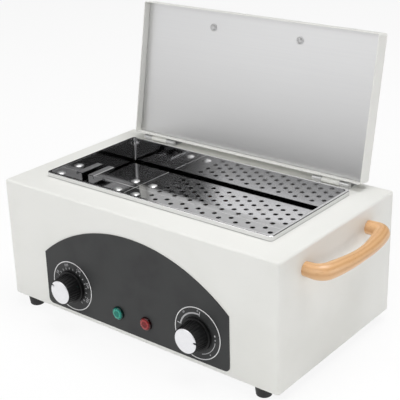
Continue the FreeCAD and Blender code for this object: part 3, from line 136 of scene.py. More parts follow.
class Paint:
    """A material that is being put together around one Principled shader."""

    def __init__(self, name: str) -> None:
        """Starts a material.

        Args:
            name: The material's name.
        """
        self.material = bpy.data.materials.new(name)
        self.material.use_nodes = True
        self.tree = self.material.node_tree
        self.shader = self.tree.nodes["Principled BSDF"]

    def node(self, kind: str, settings: dict[str, Any], inputs: dict[Any, Any], output: Any = 0) -> Value:
        """Adds a node.

        Args:
            kind: The node's type.
            settings: Its properties, set before its inputs.
            inputs: Values or links of its sockets, by name or index.
            output: The output socket to give back, by name or index.

        Returns:
            The chosen output.
        """
        node = self.tree.nodes.new(kind)
        for name, setting in settings.items():
            setattr(node, name, setting)
        for name, value in inputs.items():
            self.feed(node.inputs[name], value)
        return Value(self, node.outputs[output])

    def feed(self, socket: bpy.types.NodeSocket, value: Any) -> None:
        """Links or sets one input socket.

        Args:
            socket: The input socket.
            value: A Value to link, or a number or colour to set.
        """
        if isinstance(value, Value):
            self.tree.links.new(value.socket, socket)
        elif isinstance(value, tuple) and socket.type == "RGBA":
            socket.default_value = (*value[:3], 1.0)
        else:
            socket.default_value = value

    def shade(self, **inputs: Any) -> None:
        """Feeds the Principled shader, with underscores for the spaces in its socket names."""
        for name, value in inputs.items():
            self.feed(self.shader.inputs[name.replace("_", " ")], value)

    def place(self) -> Value:
        """Gives the Object coordinates."""
        return self.node("ShaderNodeTexCoord", {}, {}, "Object")

    def attribute(self, name: str) -> Value:
        """Gives a vector attribute of the mesh."""
        return self.node("ShaderNodeAttribute", {"attribute_name": name}, {}, "Vector")

    def stretched(self, vector: Value, scale: Scale) -> Value:
        """Scales coordinates along each axis."""
        return self.node("ShaderNodeMapping", {}, {"Vector": vector, "Scale": scale})

    def noise(self, vector: Value, scale: float = 1.0, *, detail: float, roughness: float = 0.5) -> Value:
        """Gives a noise from 0 to 1, with detail octaves that weigh less the smoother it is."""
        return self.node("ShaderNodeTexNoise", {},
                         {"Vector": vector, "Scale": scale, "Detail": detail, "Roughness": roughness}, "Fac")

    def axis(self, vector: Value, name: str) -> Value:
        """Gives one component of a vector."""
        return self.node("ShaderNodeSeparateXYZ", {}, {0: vector}, name)

    def reach(self, centre: Sequence[float]) -> Value:
        """Gives the distance from a line that runs front to back through a point.

        Args:
            centre: The point.

        Returns:
            The distance in metres.
        """
        offset = tuple(-item for item in centre)
        moved = self.node("ShaderNodeVectorMath", {"operation": "ADD"}, {0: self.place(), 1: offset})
        flat = self.node("ShaderNodeVectorMath", {"operation": "MULTIPLY"}, {0: moved, 1: (1.0, 0.0, 1.0)})
        return self.node("ShaderNodeVectorMath", {"operation": "LENGTH"}, {0: flat}, "Value")

    def beyond(self, vector: Value, low: Vector, high: Vector, inset: float) -> Value:
        """Gives how far a point lies outside an upright box that is drawn in at its sides.

        Args:
            vector: The coordinates.
            low: The box's low corner.
            high: Its high corner.
            inset: How far its sides are drawn in.

        Returns:
            The distance in metres, below zero inside.
        """
        middle, half = (low + high) / 2, (high - low) / 2
        over = []
        for index, name in enumerate("XY"):
            offset = self.axis(vector, name) - middle[index]
            over.append(offset.larger(offset * -1.0) - (half[index] - inset))
        return over[0].larger(over[1])

    def mix(self, share: Amount, first: Any, second: Any) -> Value:
        """Mixes two colours, with a share from 0 to 1 of the second."""
        return self.node("ShaderNodeMix", {"data_type": "RGBA"}, {0: share, 6: first, 7: second}, 2)

    def bump(self, height: Value, distance: float, strength: float = 1.0) -> Value:
        """Gives a normal from a height of 0 to 1 that stands for a distance in metres."""
        return self.node("ShaderNodeBump", {}, {"Height": height, "Distance": distance, "Strength": strength},
                         "Normal")


# Finishes
@dataclass(frozen=True)
class Enamel:
    """White powder coat with a fine orange peel and faint handling marks."""

    name: str = "white_enamel"
    colour: Colour = srgb(235, 235, 231)
    marked: Colour = srgb(229, 229, 224)
    mark_scale: float = 9.0
    mark_span: Span = (0.45, 0.75)
    roughness: float = 0.46
    uneven: float = 0.10
    peel_scale: float = 420.0
    peel_depth: float = 0.04 * MM
    peel_share: float = 0.35
    coat: float = 0.06
    coat_roughness: float = 0.20

    def paint(self) -> bpy.types.Material:
        """Builds the material.

        Returns:
            The material.
        """
        paint = Paint(self.name)
        place = paint.place()
        marks = paint.noise(place, self.mark_scale, detail=4.0)
        peel = paint.noise(place, self.peel_scale, detail=2.0)
        paint.shade(
            Base_Color=paint.mix(marks.between(*self.mark_span), self.colour, self.marked),
            Roughness=marks * self.uneven + (self.roughness - self.uneven / 2),
            Normal=paint.bump(peel, self.peel_depth, self.peel_share),
            Coat_Weight=self.coat,
            Coat_Roughness=self.coat_roughness,
        )
        return paint.material


@dataclass(frozen=True)
class MirrorSteel:
    """Mirror-finish stainless sheet, a little wavy, finely scratched; its outer rim rougher, painted lighter
    as a painted reflection and darker at its foot as a painted shadow.
    """

    name: str = "mirror_steel"
    colour: Colour = srgb(205, 205, 206)
    stain: Colour = srgb(199, 198, 197)
    # Painted light on the hem's outer rim: the next colour is a painted reflection, lighter than the sheet,
    # and the one after it a painted shadow at the rim's foot, where it meets the case top.
    painted_highlight: Colour = srgb(226, 226, 226)
    painted_light_low: Colour = srgb(120, 120, 120)
    roughness: float = 0.06
    smeared: float = 0.05
    scratched: float = 0.03
    rubbed: float = 0.16
    wave_scale: float = 22.0
    wave_depth: float = 0.12 * MM
    wave_share: float = 0.6
    smear_scale: float = 60.0
    stain_span: Span = (0.5, 0.8)
    scratch_scale: Scale = (30.0, 900.0, 300.0)
    rim_width: float = 2.2 * MM
    rim_blend: float = 0.7 * MM
    # How far above the case top the rim's painted shadow turns into its painted reflection.
    painted_light_rise: float = 0.9 * MM

    def worn(self, paint: Paint, place: Value) -> Value:
        """Gives 1 on the outer rim of the hem: rougher there, and where the painted reflection and painted
        shadow go.
        """
        return paint.beyond(place, *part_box("chamber_liner"), self.rim_width).between(0.0, self.rim_blend)

    def paint(self) -> bpy.types.Material:
        """Builds the material.

        Returns:
            The material.
        """
        paint = Paint(self.name)
        place = paint.place()
        wave = paint.noise(place, self.wave_scale, detail=1.0)
        smear = paint.noise(place, self.smear_scale, detail=5.0, roughness=0.6)
        scratch = paint.noise(paint.stretched(place, self.scratch_scale), detail=2.0)
        # The rim mask: the finish is rougher there, and the mask carries the painted light in the colour.
        rim = self.worn(paint, place)
        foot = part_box("case_shell")[1].z
        # Painted light on the rim: a painted shadow at the hem's foot, and a painted reflection above it.
        edge = paint.mix(paint.axis(place, "Z").between(foot, foot + self.painted_light_rise), self.painted_light_low, self.painted_highlight)
        sheet = paint.mix(smear.between(*self.stain_span), self.colour, self.stain)
        marks = smear * self.smeared + scratch * self.scratched + rim * self.rubbed
        paint.shade(
            Base_Color=paint.mix(rim, sheet, edge),
            Metallic=1.0,
            Roughness=marks + (self.roughness - self.scratched),
            Normal=paint.bump(wave, self.wave_depth, self.wave_share),
        )
        return paint.material


@dataclass(frozen=True)
class TraySteel(MirrorSteel):
    """Mirror-finish sheet, rougher on the domes and in the creases, and painted lighter there as a painted
    highlight.
    """

    name: str = "tray_steel"
    # Painted highlight: the tray lies below the case top, so its domes and creases take this lighter colour.
    painted_light_low: Colour = srgb(226, 226, 226)
    roughness: float = 0.09
    rubbed: float = 0.30
    wave_depth: float = 0.08 * MM
    dome_rise: float = 1.6 * MM
    # Heights about the plate's face that bound the domes and creases, where the finish is rougher and the
    # painted highlight goes.
    highlight_rub_start: float = 0.08 * MM
    highlight_rub_full: float = 0.20 * MM
    highlight_rub_end: float = 0.30 * MM
    highlight_rub_blend: float = 0.05 * MM

    def worn(self, paint: Paint, place: Value) -> Value:
        """Gives where the finish is rougher and the painted highlight goes: above the plate's face and just
        below it.

        Args:
            paint: The material in the making.
            place: The coordinates.

        Returns:
            1 where the finish is rougher and the painted highlight goes.
        """
        off = paint.axis(place, "Z") - (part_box("perforated_tray")[1].z - self.dome_rise)
        deep = (off * -1.0).between(self.highlight_rub_end, self.highlight_rub_end + self.highlight_rub_blend)
        return off.larger(off * -1.0).between(self.highlight_rub_start, self.highlight_rub_full) - deep


@dataclass(frozen=True)
class BrushedSteel:
    """Stainless or plated sheet with a fine brushed grain, and a painted shade: darker towards its foot."""

    name: str = "brushed_steel"
    colour: Colour = srgb(236, 236, 236)
    dark: Colour = srgb(231, 231, 232)
    roughness: float = 0.42
    relief: float = 0.02 * MM
    relief_share: float = 0.4
    grain_scale: Scale = (6.0, 900.0, 900.0)
    grain_spread: float = 0.12
    cloud_scale: float = 7.0
    cloud_spread: float = 0.06
    # Painted shade: this darker colour covers the sheet below the lower level and fades out by the upper one.
    foot: Colour = srgb(200, 200, 200)
    painted_shade_full_level: float = -2.0
    painted_shade_clear_level: float = -1.0

    def paint(self) -> bpy.types.Material:
        """Builds the material.

        Returns:
            The material.
        """
        paint = Paint(self.name)
        place = paint.place()
        grain = paint.noise(paint.stretched(place, self.grain_scale), detail=3.0, roughness=0.6)
        cloud = paint.noise(place, self.cloud_scale, detail=3.0)
        # Painted shade: darker towards the foot.
        above = paint.axis(place, "Z").between(self.painted_shade_full_level, self.painted_shade_clear_level)
        least = self.roughness - (self.grain_spread + self.cloud_spread) / 2
        paint.shade(
            Base_Color=paint.mix(above, self.foot, paint.mix(grain, self.colour, self.dark)),
            Metallic=1.0,
            Roughness=grain * self.grain_spread + cloud * self.cloud_spread + least,
            Normal=paint.bump(grain, self.relief, self.relief_share),
        )
        return paint.material


@dataclass(frozen=True)
class Beech:
    """Clear-lacquered beech: grain that follows the bent bar, small darker flecks."""

    name: str = "beech"
    light: Colour = srgb(228, 184, 136)
    ring: Colour = srgb(208, 156, 104)
    fleck: Colour = srgb(168, 104, 54)
    ring_rate: float = 1500.0
    ring_slope: float = 0.6
    ring_drift: float = 9.0
    ring_power: float = 1.6
    ring_share: float = 0.55
    fibre_share: float = 0.25
    fleck_share: float = 0.5
    fleck_span: Span = (0.64, 0.74)
    drift_scale: Scale = (14.0, 60.0, 60.0)
    fibre_scale: Scale = (60.0, 1600.0, 1600.0)
    fleck_scale: Scale = (260.0, 1900.0, 1900.0)
    roughness: float = 0.34
    uneven: float = 0.15
    coat: float = 0.35
    coat_roughness: float = 0.18
    relief: float = 0.05 * MM
    relief_share: float = 0.5
    fleck_sink: float = -0.6

    def paint(self) -> bpy.types.Material:
        """Builds the material.

        Returns:
            The material.
        """
        paint = Paint(self.name)
        grain = paint.attribute("grain")
        drift = paint.noise(paint.stretched(grain, self.drift_scale), detail=3.0)
        across = paint.axis(grain, "Y") + paint.axis(grain, "Z") * self.ring_slope
        waves = (across * self.ring_rate + drift * self.ring_drift).sine()
        rings = (waves * 0.5 + 0.5) ** self.ring_power
        fibre = paint.noise(paint.stretched(grain, self.fibre_scale), detail=4.0, roughness=0.6)
        fleck = paint.noise(paint.stretched(grain, self.fleck_scale), detail=1.0).between(*self.fleck_span)
        body = paint.mix(rings * self.ring_share + fibre * self.fibre_share, self.light, self.ring)
        paint.shade(
            Base_Color=paint.mix(fleck * self.fleck_share, body, self.fleck),
            Roughness=fibre * self.uneven + self.roughness,
            Coat_Weight=self.coat,
            Coat_Roughness=self.coat_roughness,
            Normal=paint.bump(fibre + fleck * self.fleck_sink, self.relief, self.relief_share),
        )
        return paint.material


@dataclass(frozen=True)
class Moulding:
    """A moulded plastic or rubber surface with a fine texture."""

    name: str
    colour: Colour
    worn: Colour
    roughness: float
    texture: float = 900.0
    depth: float = 0.03 * MM
    gloss: float = 0.5
    depth_share: float = 0.5
    dust_scale: float = 40.0
    dust_span: Span = (0.45, 0.8)
    uneven: float = 0.12

    def paint(self) -> bpy.types.Material:
        """Builds the material.

        Returns:
            The material.
        """
        paint = Paint(self.name)
        place = paint.place()
        dust = paint.noise(place, self.dust_scale, detail=4.0)
        speckle = paint.noise(place, self.texture, detail=2.0)
        paint.shade(
            Base_Color=paint.mix(dust.between(*self.dust_span), self.colour, self.worn),
            Specular_IOR_Level=self.gloss,
            Roughness=dust * self.uneven + (self.roughness - self.uneven / 2),
            Normal=paint.bump(speckle, self.depth, self.depth_share),
        )
        return paint.material


@dataclass(frozen=True)
class SpunAluminium:
    """Aluminium faced on a lathe: fine rings about the middle of each cap."""

    name: str
    centre: Scale
    colour: Colour = srgb(246, 246, 248)
    dark: Colour = srgb(226, 226, 229)
    metallic: float = 0.85
    roughness: float = 0.30
    ring_rate: float = 16000.0
    ring_share: float = 0.5
    ring_spread: float = 0.08
    ring_depth: float = 0.01 * MM
    depth_share: float = 0.4
    cloud_scale: float = 260.0
    cloud_share: float = 0.3
    cloud_spread: float = 0.10

    def paint(self) -> bpy.types.Material:
        """Builds the material.

        Returns:
            The material.
        """
        paint = Paint(self.name)
        rings = (paint.reach(self.centre) * self.ring_rate).sine() * 0.5 + 0.5
        cloud = paint.noise(paint.place(), self.cloud_scale, detail=3.0)
        paint.shade(
            Base_Color=paint.mix(rings * self.ring_share + cloud * self.cloud_share, self.colour, self.dark),
            Metallic=self.metallic,
            Roughness=rings * self.ring_spread + cloud * self.cloud_spread + self.roughness,
            Normal=paint.bump(rings, self.ring_depth, self.depth_share),
        )
        return paint.material


@dataclass(frozen=True)
class Lens:
    """A translucent coloured lens: a faint frosted core, a paler ring and a dark edge."""

    name: str
    node: str
    colour: Colour
    deep: Colour
    pale: Colour
    edge: Colour
    ring_rise: Span = (0.42, 0.56)
    ring_fall: Span = (0.62, 0.76)
    edge_span: Span = (0.80, 0.96)
    gloss: float = 0.2
    roughness: float = 0.12
    uneven: float = 0.06
    coat: float = 0.25
    coat_roughness: float = 0.04
    milky: float = 0.25
    milky_depth: float = 4 * MM
    frost_scale: float = 160.0
    frost_depth: float = 0.04 * MM
    frost_share: float = 0.3

    def paint(self) -> bpy.types.Material:
        """Builds the material.

        Returns:
            The material.
        """
        paint = Paint(self.name)
        low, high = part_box(self.node)
        share = paint.reach((low + high) / 2) / ((high.x - low.x) / 2)
        frost = paint.noise(paint.place(), self.frost_scale, detail=2.0)
        ring = share.between(*self.ring_rise) - share.between(*self.ring_fall)
        body = paint.mix(ring, paint.mix(frost, self.colour, self.deep), self.pale)
        paint.shade(
            Base_Color=paint.mix(share.between(*self.edge_span), body, self.edge),
            Specular_IOR_Level=self.gloss,
            Roughness=frost * self.uneven + self.roughness,
            Coat_Weight=self.coat,
            Coat_Roughness=self.coat_roughness,
            Subsurface_Weight=self.milky,
            Subsurface_Scale=self.milky_depth,
            Normal=paint.bump(frost, self.frost_depth, self.frost_share),
        )
        return paint.material


@dataclass(frozen=True)
class Print:
    """Screen print: a flat ink with a slight edge of relief."""

    name: str
    colour: Colour
    thin: Colour
    roughness: float = 0.45
    gloss: float = 0.5
    uneven: float = 0.08
    cloud_scale: float = 30.0
    cloud_span: Span = (0.4, 0.8)
    speckle_scale: float = 1500.0
    relief: float = 0.01 * MM
    relief_share: float = 0.3

    def paint(self) -> bpy.types.Material:
        """Builds the material.

        Returns:
            The material.
        """
        paint = Paint(self.name)
        place = paint.place()
        cloud = paint.noise(place, self.cloud_scale, detail=3.0)
        speckle = paint.noise(place, self.speckle_scale, detail=2.0)
        paint.shade(
            Base_Color=paint.mix(cloud.between(*self.cloud_span), self.colour, self.thin),
            Specular_IOR_Level=self.gloss,
            Roughness=speckle * self.uneven + cloud * self.uneven + (self.roughness - self.uneven),
            Normal=paint.bump(speckle, self.relief, self.relief_share),
        )
        return paint.material


@dataclass(frozen=True)
class Wool:
    """Ceramic fibre blanket."""

    name: str = "wool"
    colour: Colour = srgb(226, 221, 206)
    shade: Colour = srgb(196, 188, 168)
    roughness: float = 0.90
    uneven: float = 0.05
    tuft_scale: float = 240.0
    tuft_span: Span = (0.35, 0.7)
    tuft_depth: float = 0.6 * MM

    def paint(self) -> bpy.types.Material:
        """Builds the material.

        Returns:
            The material.
        """
        paint = Paint(self.name)
        tuft = paint.noise(paint.place(), self.tuft_scale, detail=6.0, roughness=0.7)
        paint.shade(
            Base_Color=paint.mix(tuft.between(*self.tuft_span), self.colour, self.shade),
            Roughness=tuft * self.uneven + self.roughness,
            Normal=paint.bump(tuft, self.tuft_depth),
        )
        return paint.material


FINISHES: dict[str, bpy.types.Material] = {}


def mix_palette() -> None:
    """Builds every material once."""
    recipes = [
        Enamel(),
        MirrorSteel(),
        TraySteel(),
        # The lid panel, with a painted shade: darker towards its lower edge, below 0.30 m.
        BrushedSteel(colour=srgb(228, 228, 228), dark=srgb(223, 223, 224), roughness=0.38, relief=0.008 * MM,
                     painted_shade_full_level=0.15, painted_shade_clear_level=0.30),
        BrushedSteel("zinc_steel", srgb(190, 192, 194), srgb(166, 168, 172), 0.38),
        BrushedSteel("polished_steel", srgb(222, 222, 222), srgb(206, 206, 207), 0.48),
        BrushedSteel("control_steel", srgb(176, 174, 166), srgb(150, 148, 140), 0.42),
        BrushedSteel("heater_steel", srgb(120, 112, 104), srgb(84, 76, 70), 0.45),
        BrushedSteel("copper", srgb(205, 138, 96), srgb(168, 104, 66), 0.30),
        Beech(),
        Moulding("knob_plastic", srgb(13, 13, 14), srgb(21, 21, 22), 0.40, gloss=0.28),
        Moulding("black_rubber", srgb(26, 26, 26), srgb(46, 46, 45), 0.62, 700.0, 0.06 * MM),
        Moulding("holder_plastic", srgb(34, 34, 35), srgb(52, 52, 52), 0.50),
        Moulding("block_ceramic", srgb(232, 227, 210), srgb(210, 204, 186), 0.30),
        Moulding("lead_sleeve", srgb(214, 208, 196), srgb(186, 178, 164), 0.60, 1800.0, 0.08 * MM),
        Print("fascia_print", srgb(59, 60, 60), srgb(52, 52, 53), 0.40, 0.22),
        Print("dial_white", srgb(238, 238, 238), srgb(218, 218, 220), 0.50),
        Print("dial_grey", srgb(192, 192, 194), srgb(166, 166, 168), 0.50),
        Lens("green_lens", "green_lamp_lens", srgb(0, 130, 116), srgb(0, 104, 92), srgb(60, 160, 140),
             srgb(0, 40, 36)),
        Lens("red_lens", "red_lamp_lens", srgb(128, 14, 20), srgb(98, 8, 12), srgb(164, 58, 60),
             srgb(40, 4, 6)),
        Wool(),
    ]
    for recipe in recipes:
        FINISHES[recipe.name] = recipe.paint()


# Mesh tools
def piece(name: str, mesh: Mesh, finish: str, body: str, replaces: Sequence[str] = (),
          smooth: float = 35.0) -> None:
    """Makes a finished piece from a bmesh, which it frees.

    Args:
        name: The piece's name.
        mesh: Its mesh, in place.
        finish: The material's name.
        body: The CAD body that it rides on.
        replaces: The CAD nodes that it stands for.
        smooth: The largest angle in degrees that is shaded smooth.
    """
    data = bpy.data.meshes.new(name)
    mesh.to_mesh(data)
    mesh.free()
    made = bpy.data.objects.new(name, data)
    bpy.context.scene.collection.objects.link(made)
    data.materials.append(FINISHES[finish])
    data.shade_smooth()
    data.set_sharp_from_angle(angle=math.radians(smooth))
    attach(made, body)
    if replaces:
        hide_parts(*replaces)
    LOG.info("%s: %d faces on %s", name, len(data.polygons), body)


def turn_profile(profile: Sequence[tuple[float, float]], steps: int) -> Mesh:
    """Spins a half profile about the Y axis.

    Args:
        profile: Radius and Y of each point, in metres, from one end of the axis to the other.
        steps: The number of steps round.

    Returns:
        The closed mesh, with its normals outwards.
    """
    mesh = bmesh.new()
    points = [mesh.verts.new((radius, along, 0.0)) for radius, along in profile]
    edges = [mesh.edges.new(pair) for pair in zip(points, points[1:])]
    bmesh.ops.spin(mesh, geom=points + edges, cent=(0, 0, 0), axis=(0, 1, 0), dvec=(0, 0, 0),
                   angle=2 * math.pi, steps=steps, use_merge=True, use_duplicate=False)
    bmesh.ops.remove_doubles(mesh, verts=mesh.verts, dist=MERGE)
    bmesh.ops.recalc_face_normals(mesh, faces=mesh.faces)
    return mesh


def rotation(degrees: float, axis: str) -> Matrix:
    """Gives a turn in degrees about an axis through the origin."""
    return Matrix.Rotation(math.radians(degrees), 4, axis)


def bevel(mesh: Mesh, edges: Iterable[Edge], width: float) -> None:
    """Rounds edges to a width in metres."""
    bmesh.ops.bevel(mesh, geom=list(edges), offset=width, offset_type="OFFSET", segments=ROUND_STEPS,
                    profile=0.5, affect="EDGES", clamp_overlap=True, material=-1)


def sharp_edges(mesh: Mesh) -> list[Edge]:
    """Lists the edges that fold by more than FOLD."""
    return [edge for edge in mesh.edges if len(edge.link_faces) == 2 and edge.calc_face_angle(0.0) > FOLD]


def dress(finish: str, *names: str) -> None:
    """Gives pieces that keep their CAD shape a material.

    Args:
        finish: The material's name.
        *names: The CAD nodes.
    """
    for name in names:
        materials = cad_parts[name].data.materials
        materials.clear()
        materials.append(FINISHES[finish])
        LOG.info("%s: %s", name, finish)


# The case, its base and its feet
@dataclass
class Case:
    """The white case with its base plate, hidden fittings and tapered rubber feet.

    The outline of a foot is in shares of its top radius and of its height.
    """

    feet: tuple[str, ...] = ("foot_front_left", "foot_front_right", "foot_rear_left", "foot_rear_right")
    outline: tuple[Span, ...] = ((0.47, 0.0), (0.84, 0.0), (0.97, 0.8), (1.0, 0.93), (0.98, 1.0),
                                 (0.22, 1.0), (0.22, 0.42), (0.47, 0.42), (0.47, 0.0))
    sole_share: float = 0.1
    sole_round: float = 1.2 * MM
    steps: int = 48

    def build(self) -> None:
        """Dresses the case and models the feet."""
        dress("white_enamel", "case_shell")
        dress("zinc_steel", "base_plate", "base_screws", "foot_screws", "side_handle_screws",
              "side_handle_washers", "control_screws", "lamp_clips", "heater_nuts", "heater_brackets",
              "bulb_clips")
        dress("polished_steel", "case_hinge_rivets", "left_hinge_fixed_leaf", "right_hinge_fixed_leaf",
              "left_hinge_pin", "right_hinge_pin")
        dress("control_steel", "thermostat_body", "timer_body", "thermostat_shaft", "timer_shaft",
              "thermal_cutout")
        dress("holder_plastic", "cord_gland", "green_lamp_body", "red_lamp_body")
        dress("lead_sleeve", "thermostat_lead", "timer_lead", "cutout_lead")
        dress("block_ceramic", "terminal_block")
        dress("heater_steel", "heating_element")
        dress("copper", "sensor_bulb", "capillary_tube")
        dress("wool", "liner_insulation", "lid_insulation")
        for name in self.feet:
            self.foot(name)

    def foot(self, name: str) -> None:
        """Models one foot with a rounded sole and a screw well.

        Args:
            name: The CAD node that it stands for.
        """
        low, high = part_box(name)
        middle = (low + high) / 2
        top = (high.x - low.x) / 2
        tall = high.z - low.z
        mesh = turn_profile([(top * across, tall * up) for across, up in self.outline], self.steps)
        rims = [edge for edge in sharp_edges(mesh)
                if all(vert.co.y < tall * self.sole_share for vert in edge.verts)]
        bevel(mesh, rims, self.sole_round)
        mesh.transform(Matrix.Translation((middle.x, middle.y, low.z)) @ rotation(90, "X"))
        piece(f"rubber_{name}", mesh, "black_rubber", "case", [name])


# Wooden bows
@dataclass
class Bow:
    """A bent round wooden bar, the same on both sides of the case and on the lid."""

    spacing: float = 115 * MM
    stand_off: float = 26.8 * MM
    end_radius: float = 7.1 * MM
    bend_radius: float = 8.2 * MM
    middle_radius: float = 6.6 * MM
    corner: float = 12 * MM
    crown: float = 180 * MM
    lid_lean: float = -100.0
    ring_apart: float = 0.01 * MM
    sides: int = 32
    corner_steps: int = 14
    crown_steps: int = 40

    def build(self) -> None:
        """Places the three bows over their CAD nodes."""
        for side, sign in (("left", -1), ("right", 1)):
            node = f"{side}_side_handle"
            low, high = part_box(node)
            wall = high.x if sign < 0 else low.x
            middle = (low + high) / 2
            mesh = self.bar()
            upright = rotation(90 * sign, "Y") @ rotation(90, "Z")
            mesh.transform(Matrix.Translation((wall, middle.y, middle.z)) @ upright)
            self.swell(mesh)
            piece(f"{side}_side_bow", mesh, "beech", "case", [node])
        low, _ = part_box("lid_handle")
        mesh = self.bar()
        mesh.transform(rotation(self.lid_lean, "X"))
        corner = Vector([min(vert.co[axis] for vert in mesh.verts) for axis in range(3)])
        mesh.transform(Matrix.Translation(low - corner))
        self.swell(mesh)
        piece("lid_bow", mesh, "beech", "lid", ["lid_handle"])

    def bar(self) -> Mesh:
        """Builds an even bar by taking a ring round each bend, with both ends on z = 0.

        Returns:
            The mesh, with a vector layer named grain: the length along the bar and the place across it.
        """
        half = self.spacing / 2
        lean = math.asin((half - self.corner) / (self.crown - self.corner))
        leg = self.stand_off - self.corner * math.cos(lean) - self.crown * (1 - math.cos(lean))
        turn = math.pi / 2 - lean
        mesh = bmesh.new()
        grain = mesh.verts.layers.float_vector.new("grain")
        ring = bmesh.ops.create_circle(mesh, segments=self.sides, radius=self.end_radius)["verts"]
        bmesh.ops.translate(mesh, verts=ring, vec=(-half, 0, 0))
        for vert in ring:
            vert[grain] = (0.0, vert.co.x + half, vert.co.y)
        edges = self.step(mesh, list(mesh.edges), Matrix.Translation((0, 0, leg)), leg)
        bends = (((self.corner - half, 0, leg), turn, self.corner_steps),
                 ((0, 0, self.stand_off - self.crown), 2 * lean, self.crown_steps),
                 ((half - self.corner, 0, leg), turn, self.corner_steps))
        for centre, angle, steps in bends:
            edges = self.bend(mesh, edges, Vector(centre), angle, steps)
        self.step(mesh, edges, Matrix.Translation((0, 0, -leg)), leg)
        bmesh.ops.holes_fill(mesh, edges=mesh.edges, sides=0)
        bmesh.ops.recalc_face_normals(mesh, faces=mesh.faces)
        return mesh

    @staticmethod
    def middle(edges: Sequence[Edge]) -> Vector:
        """Gives the middle of a ring."""
        return sum((vert.co for edge in edges for vert in edge.verts), Vector()) / (2 * len(edges))

    def bend(self, mesh: Mesh, edges: Sequence[Edge], centre: Vector, turn: float, steps: int) -> list[Edge]:
        """Extends the bar round a bend in short turned steps.

        Args:
            mesh: The mesh.
            edges: The open ring.
            centre: The bend's centre.
            turn: Its angle.
            steps: Its steps.

        Returns:
            The new open ring.
        """
        travel = (self.middle(edges) - centre).length * turn / steps
        turned = Matrix.Rotation(turn / steps, 4, "Y")
        move = Matrix.Translation(centre) @ turned @ Matrix.Translation(-centre)
        for _ in range(steps):
            edges = self.step(mesh, edges, move, travel)
        return list(edges)

    @staticmethod
    def step(mesh: Mesh, edges: Sequence[Edge], move: Matrix, travel: float) -> list[Edge]:
        """Extrudes the open ring once and notes how far along the bar it is.

        Args:
            mesh: The mesh.
            edges: The open ring.
            move: Where the new ring goes.
            travel: The length that this adds.

        Returns:
            The new open ring.
        """
        grain = mesh.verts.layers.float_vector["grain"]
        made = bmesh.ops.extrude_edge_only(mesh, edges=list(edges))["geom"]
        verts = {item for item in made if isinstance(item, bmesh.types.BMVert)}
        bmesh.ops.transform(mesh, matrix=move, verts=list(verts))
        for vert in verts:
            vert[grain] = vert[grain] + Vector((travel, 0, 0))
        return [item for item in made if isinstance(item, Edge) and verts.issuperset(item.verts)]

    def swell(self, mesh: Mesh) -> None:
        """Thickens the bar at its bends and thins it in the middle, ring by ring.

        Args:
            mesh: The bar, in place.
        """
        grain = mesh.verts.layers.float_vector["grain"]
        rings: dict[int, list[bmesh.types.BMVert]] = {}
        for vert in mesh.verts:
            rings.setdefault(round(vert[grain].x / self.ring_apart), []).append(vert)
        length = max(vert[grain].x for vert in mesh.verts)
        for ring in rings.values():
            centre = sum((vert.co for vert in ring), Vector()) / len(ring)
            along = ring[0][grain].x
            share = self.radius_at(min(along, length - along), length / 2) / self.end_radius
            for vert in ring:
                vert.co = centre + (vert.co - centre) * share

    def radius_at(self, along: float, half: float) -> float:
        """Gives the bar's radius at a distance from its nearer end.

        Args:
            along: The distance.
            half: Half of the bar's length.

        Returns:
            The radius.
        """
        bend_at = self.stand_off - self.corner / 2
        if along < bend_at:
            first, last, share = self.end_radius, self.bend_radius, along / bend_at
        else:
            first, last, share = self.bend_radius, self.middle_radius, (along - bend_at) / (half - bend_at)
        return first + (last - first) * share * share * (3 - 2 * share)


# Fascia, dials and knobs
class Ink(Enum):
    """The inks of the dials, by finish."""

    WHITE = "dial_white"
    GREY = "dial_grey"


@dataclass(frozen=True)
class Arc:
    """A printed arc, in degrees clockwise from the top."""

    first: float
    last: float
    radius: float
    width: float
    ink: Ink = Ink.GREY


@dataclass(frozen=True)
class Tick:
    """A grey printed bar along the radius."""

    clock: float
    radius: float
    length: float
    width: float


@dataclass(frozen=True)
class Number:
    """A grey printed plain number."""

    text: str
    clock: float
    radius: float
    size: float = 4.4 * MM


